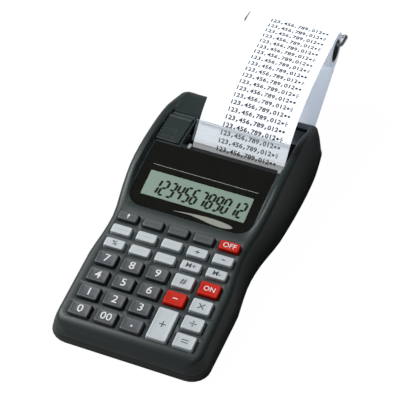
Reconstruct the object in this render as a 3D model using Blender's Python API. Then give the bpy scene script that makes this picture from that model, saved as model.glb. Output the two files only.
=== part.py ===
"""Hand-held printing calculator: case, keyboard, display, small ribbon-less printer, paper and roll holder.

Metres, +Z up. x = 0 is the middle of the case, y runs from the front edge to the back, and z = 0 is
what the rubber feet stand on. Everything hangs under one empty that centres the whole object.
"""

import math

import bpy
import numpy as np
from mathutils import Matrix, Vector

# Clearances and walls that several pieces share
gap = 0.0003
wall = 0.002
overrun = 0.002
arc_steps = 5
length_steps = 27

# Keyboard: five columns, four rows of large keys in front of three rows of small ones
column_pitch = 0.0155
large_pitch = 0.01206
small_pitch = 0.00989
key_width = 0.0124
large_key_depth = 0.0094
small_key_depth = 0.0066
key_height = 0.0022
key_travel = 0.0015
key_corner = 0.0012
key_round = 0.00045
key_draft = 0.0003
key_dish = 0.00012
flange_reach = 0.0008
flange_thickness = 0.0008
columns = 5
large_rows = 4
small_rows = 3

# Lengths from the front edge to the back, in order
front_margin = 0.0125
display_gap = 0.0106
bar_length = 0.0035
bay_length = 0.0475
rear_rim = 0.0125

# Case: half widths at the base, heights and radii
side_margin = 0.0099
bay_half_width = 0.040
cheek_width = 0.0114
base_draft = 0.0009
deck_top = 0.0322
cheek_rise = 0.0030
part_height = 0.006
foot_height = 0.001
floor_wall = 0.002
front_plan_radius = 0.0104
rear_plan_radius = 0.0095
front_top_radius = 0.0075
rear_top_radius = 0.0065
side_top_radius = 0.003
cheek_blend = 0.0012
case_corner = 0.0012
display_wall = 0.0036
bay_deck_wall = 0.0025
# Heights of the middle of the deck, as shares of the whole length and of deck_top
deck_shares = (
    (0.000, 0.484), (0.060, 0.522), (0.240, 0.640), (0.395, 0.764), (0.490, 0.851), (0.577, 0.950),
    (0.635, 0.988), (0.690, 1.000), (0.750, 0.991), (0.825, 0.945), (0.905, 0.800), (0.972, 0.650),
    (1.000, 0.570),
)  # fmt: skip
# How far the cheeks stand over the deck, as shares of the length and of cheek_rise
cheek_shares = (
    (0.0, 0.0), (0.44, 0.0), (0.50, 0.3), (0.58, 0.8), (0.66, 1.0), (0.83, 0.9), (0.93, 0.35), (1.0, 0.0),
)  # fmt: skip
# Half widths at the base and at the shoulder, with the places as shares of the length: in front of the
# display as shares of the half width at the front, and from there on of the half width at the printer
base_front_shares = (
    (0.000, 1.000), (0.250, 1.000), (0.303, 0.974), (0.363, 0.946), (0.400, 0.942),
)  # fmt: skip
base_rear_shares = (
    (0.450, 0.877), (0.500, 0.910), (0.537, 0.939), (0.573, 0.961), (0.620, 0.975), (0.690, 0.991),
    (0.780, 0.999), (0.850, 0.993), (0.905, 0.970), (1.000, 0.916),
)  # fmt: skip
shoulder_front_shares = (
    (0.000, 0.930), (0.250, 0.928), (0.303, 0.909), (0.360, 0.882), (0.405, 0.880),
)  # fmt: skip
shoulder_rear_shares = (
    (0.450, 0.832), (0.500, 0.861), (0.550, 0.879), (0.600, 0.889), (0.660, 0.888), (0.750, 0.885),
    (0.850, 0.878), (0.905, 0.876), (1.000, 0.870),
)  # fmt: skip
flare_power = 0.7

# Display panel and the module under it
panel_side = 0.0055
panel_corner = 0.009
panel_thickness = 0.0016
window_width = 0.0646
window_length = 0.0178
window_front = 0.0078
module_margin = 0.0016
module_thickness = 0.0026
glass_sink = 0.0004

# Printer bay: the well behind the bar, the ink-roller lid to its left
rail_width = 0.0016
bay_room_share = 0.2444
lid_front = 0.0021
lid_length = 0.0262
lid_thickness = 0.0015
lid_ledge = 0.0012
lid_lip_width = 0.0016
lid_lip_height = 0.0009
lid_lip_run = 0.0035
lid_lip_end_share = 0.1
lid_side_gap = 0.0006
rib_count = 5
rib_pitch = 0.0022
rib_height = 0.0004
rib_width = 0.0008
rib_crown_share = 0.25
rib_start = 0.0032
rib_inset_share = 0.149
barrel_radius = 0.0013
pin_radius = 0.0006
pin_length = 0.0009
pin_clearance = 0.00025

# Paper, 57 mm wide, and the roll that it comes from
paper_width = 0.057
paper_thickness = 0.00025
paper_side_gap = 0.0005
roll_radius = 0.0110
core_radius = 0.00625
roll_back = 0.0365
roll_height = 0.047
slot_rise = 0.0105
feed_level = 0.0068
slot_clearance = 0.0012
slot_dip = 0.0012
wrap_gap = 0.0005
paper_lean = math.radians(45)
wrap_angle = math.radians(28)
touch_angle = math.radians(215)
feed_pull_share = 2.2
arch_front_share = 0.26
arch_back_share = 0.46
web_steps = 9
curl_steps = 22

# Tear bar
bar_thickness = 0.0010
tear_height = 0.0135
tear_gap = 0.0009
tear_foot = 0.0022
tear_side = 0.0010

# Roll holder: one chrome wire, both ends plugged into the back of the case
wire_radius = 0.0011
wire_side = 0.0028
wire_leg_half = 0.014
wire_drop = 0.0032
wire_plug = 0.0075
wire_bend = 0.004
wire_end_share = 0.9
socket_radius = 0.0027
wire_samples = 12

# Printer: feed roller, print carriage on its shaft, gears and motor
feed_radius = 0.005
feed_y = 0.0055
feed_drop = 0.0084
shaft_radius = 0.0015
carriage_y = -0.0056
rod_radius = 0.0012
wheel_radius = 0.0045
wheel_width = 0.0056
carriage_width = 0.0090
carriage_wall = 0.0013
carriage_reach = 0.0056
run_clearance = 0.0002
type_count = 12
type_height = 0.0006
type_shares = ((-0.36, 0), (-0.30, 1), (0.30, 1), (0.36, 0))
ink_radius = 0.0054
ink_share = 0.852
ink_pin = 0.0010
plate = 0.0014
gear_room = 0.0038
gear_width = 0.0026
gear_module = 0.0005
feed_teeth = 18
idler_teeth = 24
pinion_teeth = 10
tooth_shares = ((-0.30, -1.2), (-0.13, 0.85), (0.13, 0.85), (0.30, -1.2))
idler_angle = math.radians(-36)
pinion_angle = math.radians(-7)
backlash = 0.00012
motor_radius = 0.0068
motor_length = 0.0180
motor_boss = 0.0022
motor_shaft = 0.0008
frame_floor = 0.0012

# Board and membrane under the keys
membrane_thickness = 0.0012
board_thickness = 0.0016
board_front = 0.004
dome_radius = 0.0030
dome_height = 0.0005
dome_top_share = 0.8
jack_width = 0.0070
jack_length = 0.0120
jack_radius = 0.0024
jack_pin_radius = 0.0009
jack_rise = 0.0046
jack_mouth = 0.0028

# Four cells across the case, and the door under them
cell_radius = 0.00725
cell_length = 0.0505
cell_gap = 0.0003
cell_start = 0.0015
cell_end = 0.0043
cell_count = 4
nub_radius = 0.0026
nub_length = 0.0010
cell_room = 0.0006
door_thickness = 0.0015
door_slide = 0.0060
door_recess = 0.0019
door_pad = 0.0013
tab_width = 0.0044
tab_length = 0.0018
tab_height = 0.0010
thumb_rib_count = 4
thumb_rib_pitch = 0.0024
thumb_rib_depth = 0.0004
thumb_rib_share = 0.3
bay_wall = 0.0012
bay_wall_height = 0.0090

# Rubber foot strips
foot_width = 0.006
foot_sink = 0.0007
foot_front = 0.010
foot_back = 0.0205
foot_inset = 0.0150
foot_corner = 0.0028

# Places that follow from the sizes above
row_places = []
place = front_margin
for row in range(large_rows):
    row_places.append(place)
    place += large_pitch
place += (small_pitch - large_pitch) / 2
for row in range(small_rows):
    row_places.append(place)
    place += small_pitch
last_row = row_places[-1]
display_front = last_row + display_gap
cells_front = last_row + small_key_depth / 2 + cell_start
cells_back = cells_front + cell_length + nub_length
bay_front = cells_back + cell_end
display_back = bay_front - bar_length
bay_back = bay_front + bay_length
body_length = bay_back + rear_rim
front_half_width = (columns - 1) * column_pitch / 2 + key_width / 2 + side_margin
rear_half_width = bay_half_width + cheek_width
jack_y = row_places[-2]
jack_z = part_height + jack_rise
floor_top = foot_height + floor_wall
paper_right = bay_half_width - paper_side_gap
paper_left = paper_right - paper_width
paper_middle = (paper_right + paper_left) / 2
bay_left = bay_room_share * (bay_half_width + paper_left) - paper_left
panel_half_width = window_width / 2 + panel_side
roll_y = body_length + roll_back


def monotone(points):
    """A smooth curve through the points that never overshoots them."""
    px, py = (np.array(column, float) for column in zip(*points))
    step = np.diff(px)
    slope = np.diff(py) / step
    tangent = np.zeros(len(px))
    tangent[0], tangent[-1] = slope[0], slope[-1]
    for k in range(1, len(px) - 1):
        if slope[k - 1] * slope[k] > 0:
            a, b = 2 * step[k] + step[k - 1], step[k] + 2 * step[k - 1]
            tangent[k] = (a + b) / (a / slope[k - 1] + b / slope[k])

    def value(x):
        k = int(np.clip(np.searchsorted(px, x) - 1, 0, len(step) - 1))
        t = min(max((x - px[k]) / step[k], 0), 1)
        return float(
            py[k] * (1 + 2 * t) * (1 - t) ** 2
            + step[k] * tangent[k] * t * (1 - t) ** 2
            + py[k + 1] * t * t * (3 - 2 * t)
            + step[k] * tangent[k + 1] * t * t * (t - 1)
        )

    return value


deck_curve = monotone([(a * body_length, b * deck_top) for a, b in deck_shares])
cheek_curve = monotone([(a * body_length, b * cheek_rise) for a, b in cheek_shares])


def width_curve(front_shares, rear_shares):
    points = [(a * body_length, b * front_half_width) for a, b in front_shares]
    return monotone(points + [(a * body_length, b * rear_half_width) for a, b in rear_shares])


base_curve = width_curve(base_front_shares, base_rear_shares)
shoulder_curve = width_curve(shoulder_front_shares, shoulder_rear_shares)


def arc_loss(radius, into):
    """How far a quarter round of this radius falls away at a distance into it."""
    if radius <= 0 or into >= radius:
        return 0.0
    return radius - math.sqrt(max(radius * radius - (radius - into) ** 2, 0))


def deck(y):
    return deck_curve(y)


def deck_slope(y):
    return (deck_curve(y + gap) - deck_curve(y - gap)) / (2 * gap)


def end_drop(y, inset):
    """How far the top falls in the rounds over the front and the back edges."""
    front = arc_loss(front_top_radius - inset, y - inset)
    back = arc_loss(rear_top_radius - inset, body_length - inset - y)
    return front + back


def half_width(y, inset, curve=base_curve):
    """Half the width at the base, or at the shoulder, with the round corners of the plan."""
    front = arc_loss(front_plan_radius - inset, y - inset)
    back = arc_loss(rear_plan_radius - inset, body_length - inset - y)
    return curve(y) - inset - front - back


def stations(inset):
    """Places along the case where its section is taken, close together in the rounds at both ends."""
    front = max(front_plan_radius, front_top_radius) - inset
    back = max(rear_plan_radius, rear_top_radius) - inset
    turns = np.linspace(0, math.pi / 2, arc_steps + 2)
    near = [inset + front * (1 - math.cos(t)) for t in turns]
    far = [body_length - inset - back * (1 - math.cos(t)) for t in turns]
    middle = list(np.linspace(near[-1], far[-1], length_steps))[1:-1]
    return near + middle + far[::-1]


def mirrored(half):
    """A closed ring from the right half of a section, which starts on the middle line."""
    return half + [(-x, z) for x, z in reversed(half[1:])]


def outer_section(y, base):
    """The upper case's section: deck, soft step up to the cheek, round shoulder and flared side."""
    top = deck(y) - end_drop(y, 0.0)
    crest = top + cheek_curve(y)
    width = half_width(y, 0.0) - base_draft
    shoulder = min(side_top_radius, (crest - base) / 2)
    upper = half_width(y, 0.0, shoulder_curve)
    inner = min(bay_half_width, upper - shoulder - 2 * cheek_blend)
    half = [(0.0, top)]
    for s in (0.0, 0.25, 0.5, 0.75, 1.0):
        half.append((inner + (s - 0.5) * 2 * cheek_blend, top + (crest - top) * s * s * (3 - 2 * s)))
    for t in np.linspace(math.pi / 2, 0, arc_steps):
        half.append((upper - shoulder * (1 - math.cos(t)), crest - shoulder * (1 - math.sin(t))))
    low = crest - shoulder
    for s in (0.66, 0.33, 0.0):
        half.append((upper + (width - upper) * (1 - s) ** flare_power, base + s * (low - base)))
    return half


def inner_section(y, base, ceiling):
    """The hollow under the deck, a wall inside the outer section."""
    top = deck(y) - end_drop(y, wall) - ceiling(y)
    width = half_width(y, wall) - base_draft
    upper = half_width(y, wall, shoulder_curve)
    corner = min(case_corner, (top - base) / 2)
    half = [(0.0, top)]
    for t in np.linspace(math.pi / 2, 0, 3):
        half.append((upper - corner * (1 - math.cos(t)), top - corner * (1 - math.sin(t))))
    half.append((width, base))
    return half


def material(name, colour, roughness, metallic=0.0):
    made = bpy.data.materials.new(name)
    made.use_nodes = True
    shader = made.node_tree.nodes["Principled BSDF"]
    linear = []
    for c in colour:
        curved = ((c + srgb_offset) / (1 + srgb_offset)) ** srgb_power
        linear.append(c / srgb_slope if c <= srgb_knee else curved)
    shader.inputs["Base Color"].default_value = (*linear, 1.0)
    shader.inputs["Roughness"].default_value = roughness
    shader.inputs["Metallic"].default_value = metallic
    return made


# The sRGB curve, and the colours in it
srgb_knee = 0.04045
srgb_slope = 12.92
srgb_offset = 0.055
srgb_power = 2.4
charcoal = (0.27, 0.28, 0.28)
black = (0.08, 0.08, 0.085)
dark_key = (0.36, 0.38, 0.39)
light_key = (0.80, 0.81, 0.82)
red_key = (0.84, 0.16, 0.12)
clear = (0.80, 0.84, 0.86)
white = (0.95, 0.95, 0.95)
steel = (0.72, 0.72, 0.72)
chrome = (0.85, 0.85, 0.86)
lcd_green = (0.72, 0.79, 0.73)
board_green = (0.10, 0.35, 0.20)
ink_violet = (0.25, 0.12, 0.40)
brass = (0.72, 0.60, 0.30)
silicone = (0.75, 0.75, 0.72)

for old in list(bpy.data.objects):
    bpy.data.objects.remove(old, do_unlink=True)
centre = bpy.data.objects.new("calculator", None)
bpy.context.scene.collection.objects.link(centre)


def make(name, vertices, faces, look, smooth=True):
    """A named object, with its faces turned outwards, under the centring empty."""
    mesh = bpy.data.meshes.new(name)
    mesh.from_pydata([tuple(map(float, v)) for v in vertices], [], faces)
    mesh.validate()
    mesh.update()
    made = bpy.data.objects.new(name, mesh)
    bpy.context.scene.collection.objects.link(made)
    made.parent = centre
    if look is not None:
        mesh.materials.append(material(name, *look))
    volume = sum(Vector(mesh.vertices[f.vertices[0]].co).dot(f.normal * f.area) for f in mesh.polygons)
    if volume < 0:
        mesh.flip_normals()
    if smooth:
        mesh.shade_smooth()
        mesh.set_sharp_from_angle(angle=math.radians(35))
    return made


def cutter(name, vertices, faces):
    made = make(name, vertices, faces, None, smooth=False)
    made.hide_render = True
    made.display_type = "WIRE"
    return made


def boolean(target, tool, operation="DIFFERENCE"):
    tool.hide_render = True
    tool.display_type = "WIRE"
    step = target.modifiers.new(tool.name, "BOOLEAN")
    step.operation = operation
    step.solver = "EXACT"
    step.object = tool


def loft(rings):
    """Vertices and faces of a tube through rings of equal count, with both ends closed."""
    count = len(rings[0])
    vertices = [v for ring in rings for v in ring]
    faces = []
    for r in range(len(rings) - 1):
        for k in range(count):
            a, b = r * count + k, r * count + (k + 1) % count
            faces.append((a, b, b + count, a + count))
    faces.append(tuple(range(count))[::-1])
    last = (len(rings) - 1) * count
    faces.append(tuple(range(last, last + count)))
    return vertices, faces


def joined(parts):
    """One list of vertices and faces from several."""
    vertices, faces = [], []
    for more_vertices, more_faces in parts:
        start = len(vertices)
        vertices += list(more_vertices)
        faces += [tuple(start + k for k in face) for face in more_faces]
    return vertices, faces


def block(low, high):
    (x0, y0, z0), (x1, y1, z1) = low, high
    ring = ((x0, y0), (x1, y0), (x1, y1), (x0, y1))
    return loft([[(x, y, z0) for x, y in ring], [(x, y, z1) for x, y in ring]])


def side_plate(outline, x0, x1):
    """A plate across x with an outline of (y, z) points."""
    return loft([[(x0, y, z) for y, z in outline], [(x1, y, z) for y, z in outline]])


def rotate_point(y, z, angle, length):
    return y + length * math.cos(angle), z + length * math.sin(angle)


def circle(y, z, radius, count):
    return [rotate_point(y, z, math.tau * k / count, radius) for k in range(count)]


def turned(profile, y, z, count=24):
    """A solid of revolution about an axis along x, from (x, radius) points."""
    return loft([[(x, a, b) for a, b in circle(y, z, radius, count)] for x, radius in profile])


def bar_along(x0, x1, radius, axis, count=16):
    """A round bar along x about an axis."""
    return turned([(x0, radius), (x1, radius)], *axis, count)


def tube(profile_out, profile_in, y, z, count=24):
    """A turned solid with a bore: out along the outer profile and back along the inner one."""
    rings = [[(x, a, b) for a, b in circle(y, z, r, count)] for x, r in profile_out + profile_in[::-1]]
    vertices, faces = loft(rings)
    faces = faces[:-2]
    last = (len(rings) - 1) * count
    for k in range(count):
        a, b = last + k, last + (k + 1) % count
        faces.append((a, b, (k + 1) % count, k))
    return vertices, faces


def rounded(width, length, radius, steps=3):
    """A rectangle with round corners about the origin, anticlockwise."""
    points = []
    for k, (sx, sy) in enumerate(((1, 1), (-1, 1), (-1, -1), (1, -1))):
        for t in np.linspace(0, math.pi / 2, steps):
            turn = t + k * math.pi / 2
            points.append(
                (
                    sx * (width / 2 - radius) + radius * math.cos(turn),
                    sy * (length / 2 - radius) + radius * math.sin(turn),
                )
            )
    return points


def tilt_at(y):
    """The frame that sits on the deck at a place: its origin on the surface, its z along the normal."""
    angle = math.atan(deck_slope(y))
    return Matrix.Translation((0.0, y, deck(y))) @ Matrix.Rotation(angle, 4, "X")


def placed(shape, frame):
    vertices, faces = shape
    return [frame @ Vector(v) for v in vertices], faces


def gear_outline(y, z, teeth, start):
    """A gear of trapezoid teeth: root, tip, tip and root again for each tooth."""
    points = []
    for k in range(teeth):
        for share, height in tooth_shares:
            radius = gear_module * (teeth / 2 + height)
            points.append(rotate_point(y, z, start + math.tau * (k + share) / teeth, radius))
    return points


def at_x(outline, x):
    return [(x, y, z) for y, z in outline]


def key_rows():
    """Every key: its name, column, first row, last row and colour, rows counted from the front."""
    dark, light, red = dark_key, light_key, red_key
    digits = ((("0", "00", "point"), 0), (("1", "2", "3"), 1), (("4", "5", "6"), 2), (("7", "8", "9"), 3))
    keys = []
    for names, row in digits:
        keys += [(f"key_{name}", column, row, row, dark) for column, name in enumerate(names)]
    keys += [("key_plus", 3, 0, 1, light), ("key_minus", 3, 2, 2, red), ("key_hash", 3, 3, 3, light)]
    keys += [("key_equals", 4, 0, 0, light), ("key_divide", 4, 1, 1, light), ("key_times", 4, 2, 2, light)]
    keys += [("key_on_clear", 4, 3, 3, red)]
    lower = ("percent", "markup", "memory_clear", "memory_plus", "memory_minus")
    middle = ("currency", "local", "rate", "tax_plus", "tax_minus")
    keys += [(f"key_{name}", column, 4, 4, light) for column, name in enumerate(lower)]
    keys += [(f"key_{name}", column, 5, 5, light) for column, name in enumerate(middle)]
    upper = ("shift", "decimals", "function", "print")
    keys += [(f"key_{name}", column, 6, 6, dark) for column, name in enumerate(upper)]
    keys += [("key_off", 4, 6, 6, red)]
    return keys


def key_size(first, last):
    depth = large_key_depth if last < large_rows else small_key_depth
    return key_width, depth + row_places[last] - row_places[first]


def key_frame(column, first, last):
    y = (row_places[first] + row_places[last]) / 2
    x = (column - (columns - 1) / 2) * column_pitch
    return Matrix.Translation((x, 0.0, 0.0)) @ tilt_at(y)


def key_cap(name, column, first, last, colour):
    """A drafted cap with a round edge and a slight dish, and the flange that holds it under the deck."""
    width, depth = key_size(first, last)
    under = -wall - gap
    levels = (
        (-2 * key_round - key_draft, key_height - key_dish),
        (-key_round - key_draft, key_height),
        (-key_draft, key_height - key_round),
        (0.0, 0.0),
        (0.0, under),
        (flange_reach, under),
        (flange_reach, under - flange_thickness),
    )
    rings = []
    for grow, z in levels:
        corner = key_corner + grow / 2
        outline = rounded(width + 2 * grow, depth + 2 * grow, corner)
        rings.append([(x, y, z) for x, y in outline])
    vertices, faces = loft(rings)
    frame = key_frame(column, first, last)
    made = make(name, vertices, faces, (colour, 0.45))
    made.matrix_local = frame
    return made


def key_hole(column, first, last):
    width, depth = key_size(first, last)
    outline = rounded(width + 2 * gap, depth + 2 * gap, key_corner + gap)
    rings = [[(x, y, z) for x, y in outline] for z in (-wall - overrun, key_height + overrun)]
    return placed(loft(rings), key_frame(column, first, last))


def panel_outline(grow):
    """The display panel seen from above: round lower corners, a straight back edge."""
    half, radius = panel_half_width + grow, panel_corner + grow
    front, back = display_front - grow, display_back + grow
    points = []
    for t in np.linspace(0, math.pi / 2, arc_steps + 2):
        points.append((-half + radius * (1 - math.cos(t)), front + radius * (1 - math.sin(t))))
    for t in np.linspace(math.pi / 2, 0, arc_steps + 2):
        points.append((half - radius * (1 - math.cos(t)), front + radius * (1 - math.sin(t))))
    points.append((half, back))
    points.append((-half, back))
    return points


def deck_slab(name, y0, y1, half, below, above, steps=10):
    """A slab that follows the deck between two places, from below it to above it."""
    rings = []
    for y in np.linspace(y0, y1, steps):
        low, high = deck(y) - below, deck(y) + above
        rings.append([(-half, y, low), (half, y, low), (half, y, high), (-half, y, high)])
    return cutter(name, *loft(rings))


def upright(outline, z0, z1):
    return loft([[(x, y, z0) for x, y in outline], [(x, y, z1) for x, y in outline]])


def window_frame():
    """The frame on the deck at the middle of the display window."""
    return tilt_at(display_front + window_front + window_length / 2)


def window_block(grow, below, above):
    outline = rounded(window_width + 2 * grow, window_length + 2 * grow, key_round)
    rings = [[(x, y, z) for x, y in outline] for z in (-below, above)]
    return placed(loft(rings), window_frame())


lid_left = -bay_half_width + lid_side_gap
lid_right = -bay_left - rail_width
lid_front_y = display_back + lid_front
lid_back_y = lid_front_y + lid_length
barrel_y = lid_back_y + barrel_radius / 2
lid_sink = deck(lid_back_y) - barrel_radius


def ceiling(y):
    """How thick the deck is: thickest under the display panel, then round the bay."""
    blend = min(max((y - display_front + panel_thickness + wall) / wall, 0), 1)
    back = min(max((y - display_front - window_front - window_length - wall) / wall, 0), 1)
    return wall + (display_wall - wall) * blend + (bay_deck_wall - display_wall) * back


def upper_case():
    """The top shell: a loft of sections, hollowed, then opened for keys, display, lid, paper and bay."""
    rings = []
    for y in stations(0.0):
        rings.append([(x, y, z) for x, z in mirrored(outer_section(y, part_height))])
    shell = make("upper_case", *loft(rings), (charcoal, 0.55))
    rings = []
    for y in stations(wall):
        half = inner_section(y, part_height - overrun, ceiling)
        rings.append([(x, y, z) for x, z in mirrored(half)])
    boolean(shell, cutter("upper_hollow", *loft(rings)))

    ends = (display_front - panel_corner, bay_front)
    half = panel_half_width + panel_corner
    recess = deck_slab("panel_recess", *ends, half, panel_thickness + gap, cheek_rise + overrun)
    prism = cutter("panel_prism", *upright(panel_outline(gap), part_height, deck_top + cheek_rise + overrun))
    boolean(recess, prism, "INTERSECT")
    boolean(shell, recess)

    lid_half = (lid_right - lid_left) / 2 + gap
    lid_x = (lid_right + lid_left) / 2
    lid_rings = []
    for y in np.linspace(lid_front_y - gap, lid_back_y + gap, 6):
        low, high = deck(y) - lid_thickness - gap, deck(y) + overrun
        ring = ((-lid_half, low), (lid_half, low), (lid_half, high), (-lid_half, high))
        lid_rings.append([(lid_x + x, y, z) for x, z in ring])
    boolean(shell, cutter("lid_recess", *loft(lid_rings)))
    trough = barrel_radius + gap
    half_barrel = [(barrel_y - trough, deck_top + overrun)]
    for t in np.linspace(math.pi, math.tau, 2 * arc_steps):
        half_barrel.append((barrel_y + trough * math.cos(t), lid_sink + trough * math.sin(t)))
    half_barrel.append((barrel_y + trough, deck_top + overrun))
    boolean(shell, cutter("lid_trough", *side_plate(half_barrel, lid_left - gap, lid_right + gap)))

    holes = [key_hole(column, first, last) for _, column, first, last, _ in key_rows()]
    holes.append(window_block(module_margin / 2, display_wall + overrun, overrun))
    well_low, well_high = part_height + overrun, deck_top + cheek_rise + overrun
    well = rounded(bay_half_width + bay_left, bay_length, case_corner)
    well_x, well_y = (bay_half_width - bay_left) / 2, bay_front + bay_length / 2
    holes.append(upright([(x + well_x, y + well_y) for x, y in well], well_low, well_high))
    holes.append(
        block(
            (lid_left + lid_ledge, lid_front_y + lid_ledge, well_low),
            (lid_right - lid_ledge, lid_back_y - lid_ledge, deck_top + overrun),
        )
    )
    slot_y0, slot_y1 = body_length - rear_plan_radius, body_length + overrun
    slot = slot_clearance + paper_thickness / 2
    level = slot_rise
    holes.append(
        block(
            (paper_left - paper_side_gap, slot_y0, level - slot - slot_dip),
            (paper_right + paper_side_gap, slot_y1, level + slot),
        )
    )
    boolean(shell, cutter("upper_openings", *joined(holes)))
    mouth = [(-front_half_width - overrun, jack_mouth), (jack_face() + gap, jack_mouth)]
    boolean(shell, cutter("jack_hole", *turned(mouth, jack_y, jack_z, 20)))
    pin = pin_radius + pin_clearance
    ends = (lid_left - gap - pin_length - gap, lid_right + gap + pin_length + gap)
    boolean(shell, cutter("lid_pin_holes", *turned([(ends[0], pin), (ends[1], pin)], barrel_y, lid_sink, 12)))
    return shell


def lower_section(y, inset, bottom, top):
    """The tray's section: a round lower edge and a side that leans in a little towards the top."""
    width = half_width(y, inset)
    round_edge = min(case_corner, (top - bottom) / 2)
    half = [(0.0, top), (width - base_draft, top)]
    for t in np.linspace(0, math.pi / 2, 4):
        half.append((width - round_edge * (1 - math.cos(t)), bottom + round_edge * (1 - math.sin(t))))
    return half + [(-x, z) for x, z in reversed(half[1:])]


room_half = cell_count * (cell_radius + cell_gap / 2) + cell_room
room_front = cells_front - cell_room
room_back = cells_back + cell_room
door_top = foot_height + door_thickness
cell_z = door_top + gap + cell_radius


def socket_places():
    return [(paper_middle + side * wire_leg_half, side) for side in (-1, 1)]


wire_level = foot_height + (part_height - foot_height) / 2


def lower_case():
    """The bottom tray with the battery room, its door opening, foot recesses and wire sockets."""
    top = part_height - gap
    rings = [[(x, y, z) for x, z in lower_section(y, 0.0, foot_height, top)] for y in stations(0.0)]
    tray = make("lower_case", *loft(rings), (charcoal, 0.6))
    rings = [[(x, y, z) for x, z in lower_section(y, wall, floor_top, top + overrun)] for y in stations(wall)]
    boolean(tray, cutter("lower_hollow", *loft(rings)))

    room_top = floor_top + bay_wall_height
    out = room_half + bay_wall
    box = block((-out, room_front - bay_wall, foot_height + gap), (out, room_back + bay_wall, room_top))
    boolean(tray, cutter("room_block", *box), "UNION")
    pad_back = room_back + door_slide + 2 * bay_wall
    pad_top = foot_height + door_recess + door_pad
    pad = block((-out, room_back, foot_height + gap), (out, pad_back, pad_top))
    boolean(tray, cutter("door_pad", *pad), "UNION")
    for x, side in socket_places():
        boss = loft(
            [
                [(a, y, b) for a, b in circle(x, wire_level, socket_radius - gap, 16)]
                for y in (body_length - wire_plug - wall, body_length - wall / 2)
            ]
        )
        boolean(tray, cutter(f"socket_boss_{side}", *boss), "UNION")
        hole = loft(
            [
                [(a, y, b) for a, b in circle(x, wire_level, wire_radius + gap, 16)]
                for y in (body_length - wire_plug, body_length + overrun)
            ]
        )
        boolean(tray, cutter(f"socket_hole_{side}", *hole))
    room = block((-room_half, room_front, foot_height - overrun), (room_half, room_back, room_top + overrun))
    boolean(tray, cutter("room_hollow", *room))
    relief = block(
        (-room_half, room_back - bay_wall, foot_height - overrun),
        (room_half, room_back + door_slide + gap, foot_height + door_recess),
    )
    boolean(tray, cutter("door_relief", *relief))
    notches = []
    for x in tab_places():
        half = tab_width / 2 + gap
        low = floor_top
        notches.append(
            block(
                (x - half, room_front - bay_wall - overrun, low),
                (x + half, room_front + gap, low + tab_height + 2 * gap),
            )
        )
    boolean(tray, cutter("tab_notches", *joined(notches)))
    strips = []
    for y, half in foot_places():
        outline = [(x, y + v) for x, v in rounded(2 * half + 2 * gap, foot_width + 2 * gap, foot_corner)]
        strips.append(upright(outline, foot_height - overrun, foot_height + foot_sink))
    boolean(tray, cutter("foot_recesses", *joined(strips)))
    return tray


def tab_places():
    return [side * (2 * cell_radius + cell_gap) for side in (-1, 1)]


def foot_places():
    """The middle and the half length of the front and the back strip."""
    return [
        (foot_front + foot_width / 2, front_half_width - foot_inset),
        (body_length - foot_back, rear_half_width - foot_inset),
    ]


def feet():
    for name, (y, half) in zip(("front_foot", "rear_foot"), foot_places()):
        outline = [(x, y + v) for x, v in rounded(2 * half, foot_width, foot_corner - gap)]
        make(name, *upright(outline, 0.0, foot_height + foot_sink - gap), (black, 0.9))


def battery_door():
    """A flat door with thumb ribs, and two tabs that hook over the floor in front of it."""
    half = room_half - gap
    front, back = room_front + gap, room_back - gap
    door = make("battery_door", *block((-half, front, foot_height), (half, back, door_top)), (charcoal, 0.6))
    for k, x in enumerate(tab_places()):
        low = floor_top + gap
        foot_end = front + 2 * tab_length
        riser = block(
            (x - tab_width / 2, front, door_top - gap), (x + tab_width / 2, foot_end, low + tab_height)
        )
        boolean(door, cutter(f"tab_riser_{k}", *riser), "UNION")
        tab = block(
            (x - tab_width / 2, front - tab_length - gap, low),
            (x + tab_width / 2, front + tab_length, low + tab_height),
        )
        boolean(door, cutter(f"tab_{k}", *tab), "UNION")
    grooves = []
    for k in range(thumb_rib_count):
        y = back - (k + 1.5) * thumb_rib_pitch
        grooves.append(
            block(
                (-half * thumb_rib_share, y, foot_height - overrun),
                (half * thumb_rib_share, y + thumb_rib_pitch / 2, foot_height + thumb_rib_depth),
            )
        )
    boolean(door, cutter("thumb_grooves", *joined(grooves)))
    return door


def batteries():
    for k in range(cell_count):
        x = (k - (cell_count - 1) / 2) * (2 * cell_radius + cell_gap)
        turn = 1 if k % 2 else -1
        middle = (cells_front + cells_back) / 2
        half = (cells_back - cells_front) / 2
        stops = (
            (-half, cell_radius - case_corner / 2),
            (-half + case_corner / 2, cell_radius),
            (half - nub_length - case_corner / 2, cell_radius),
            (half - nub_length, cell_radius - case_corner / 2),
            (half - nub_length, nub_radius),
            (half, nub_radius),
        )
        rings = []
        for y, radius in stops:
            rings.append([(a, middle + turn * y, b) for a, b in circle(x, cell_z, radius, 20)])
        make(f"battery_{k + 1}", *loft(rings), (steel, 0.4, 0.6))


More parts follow.
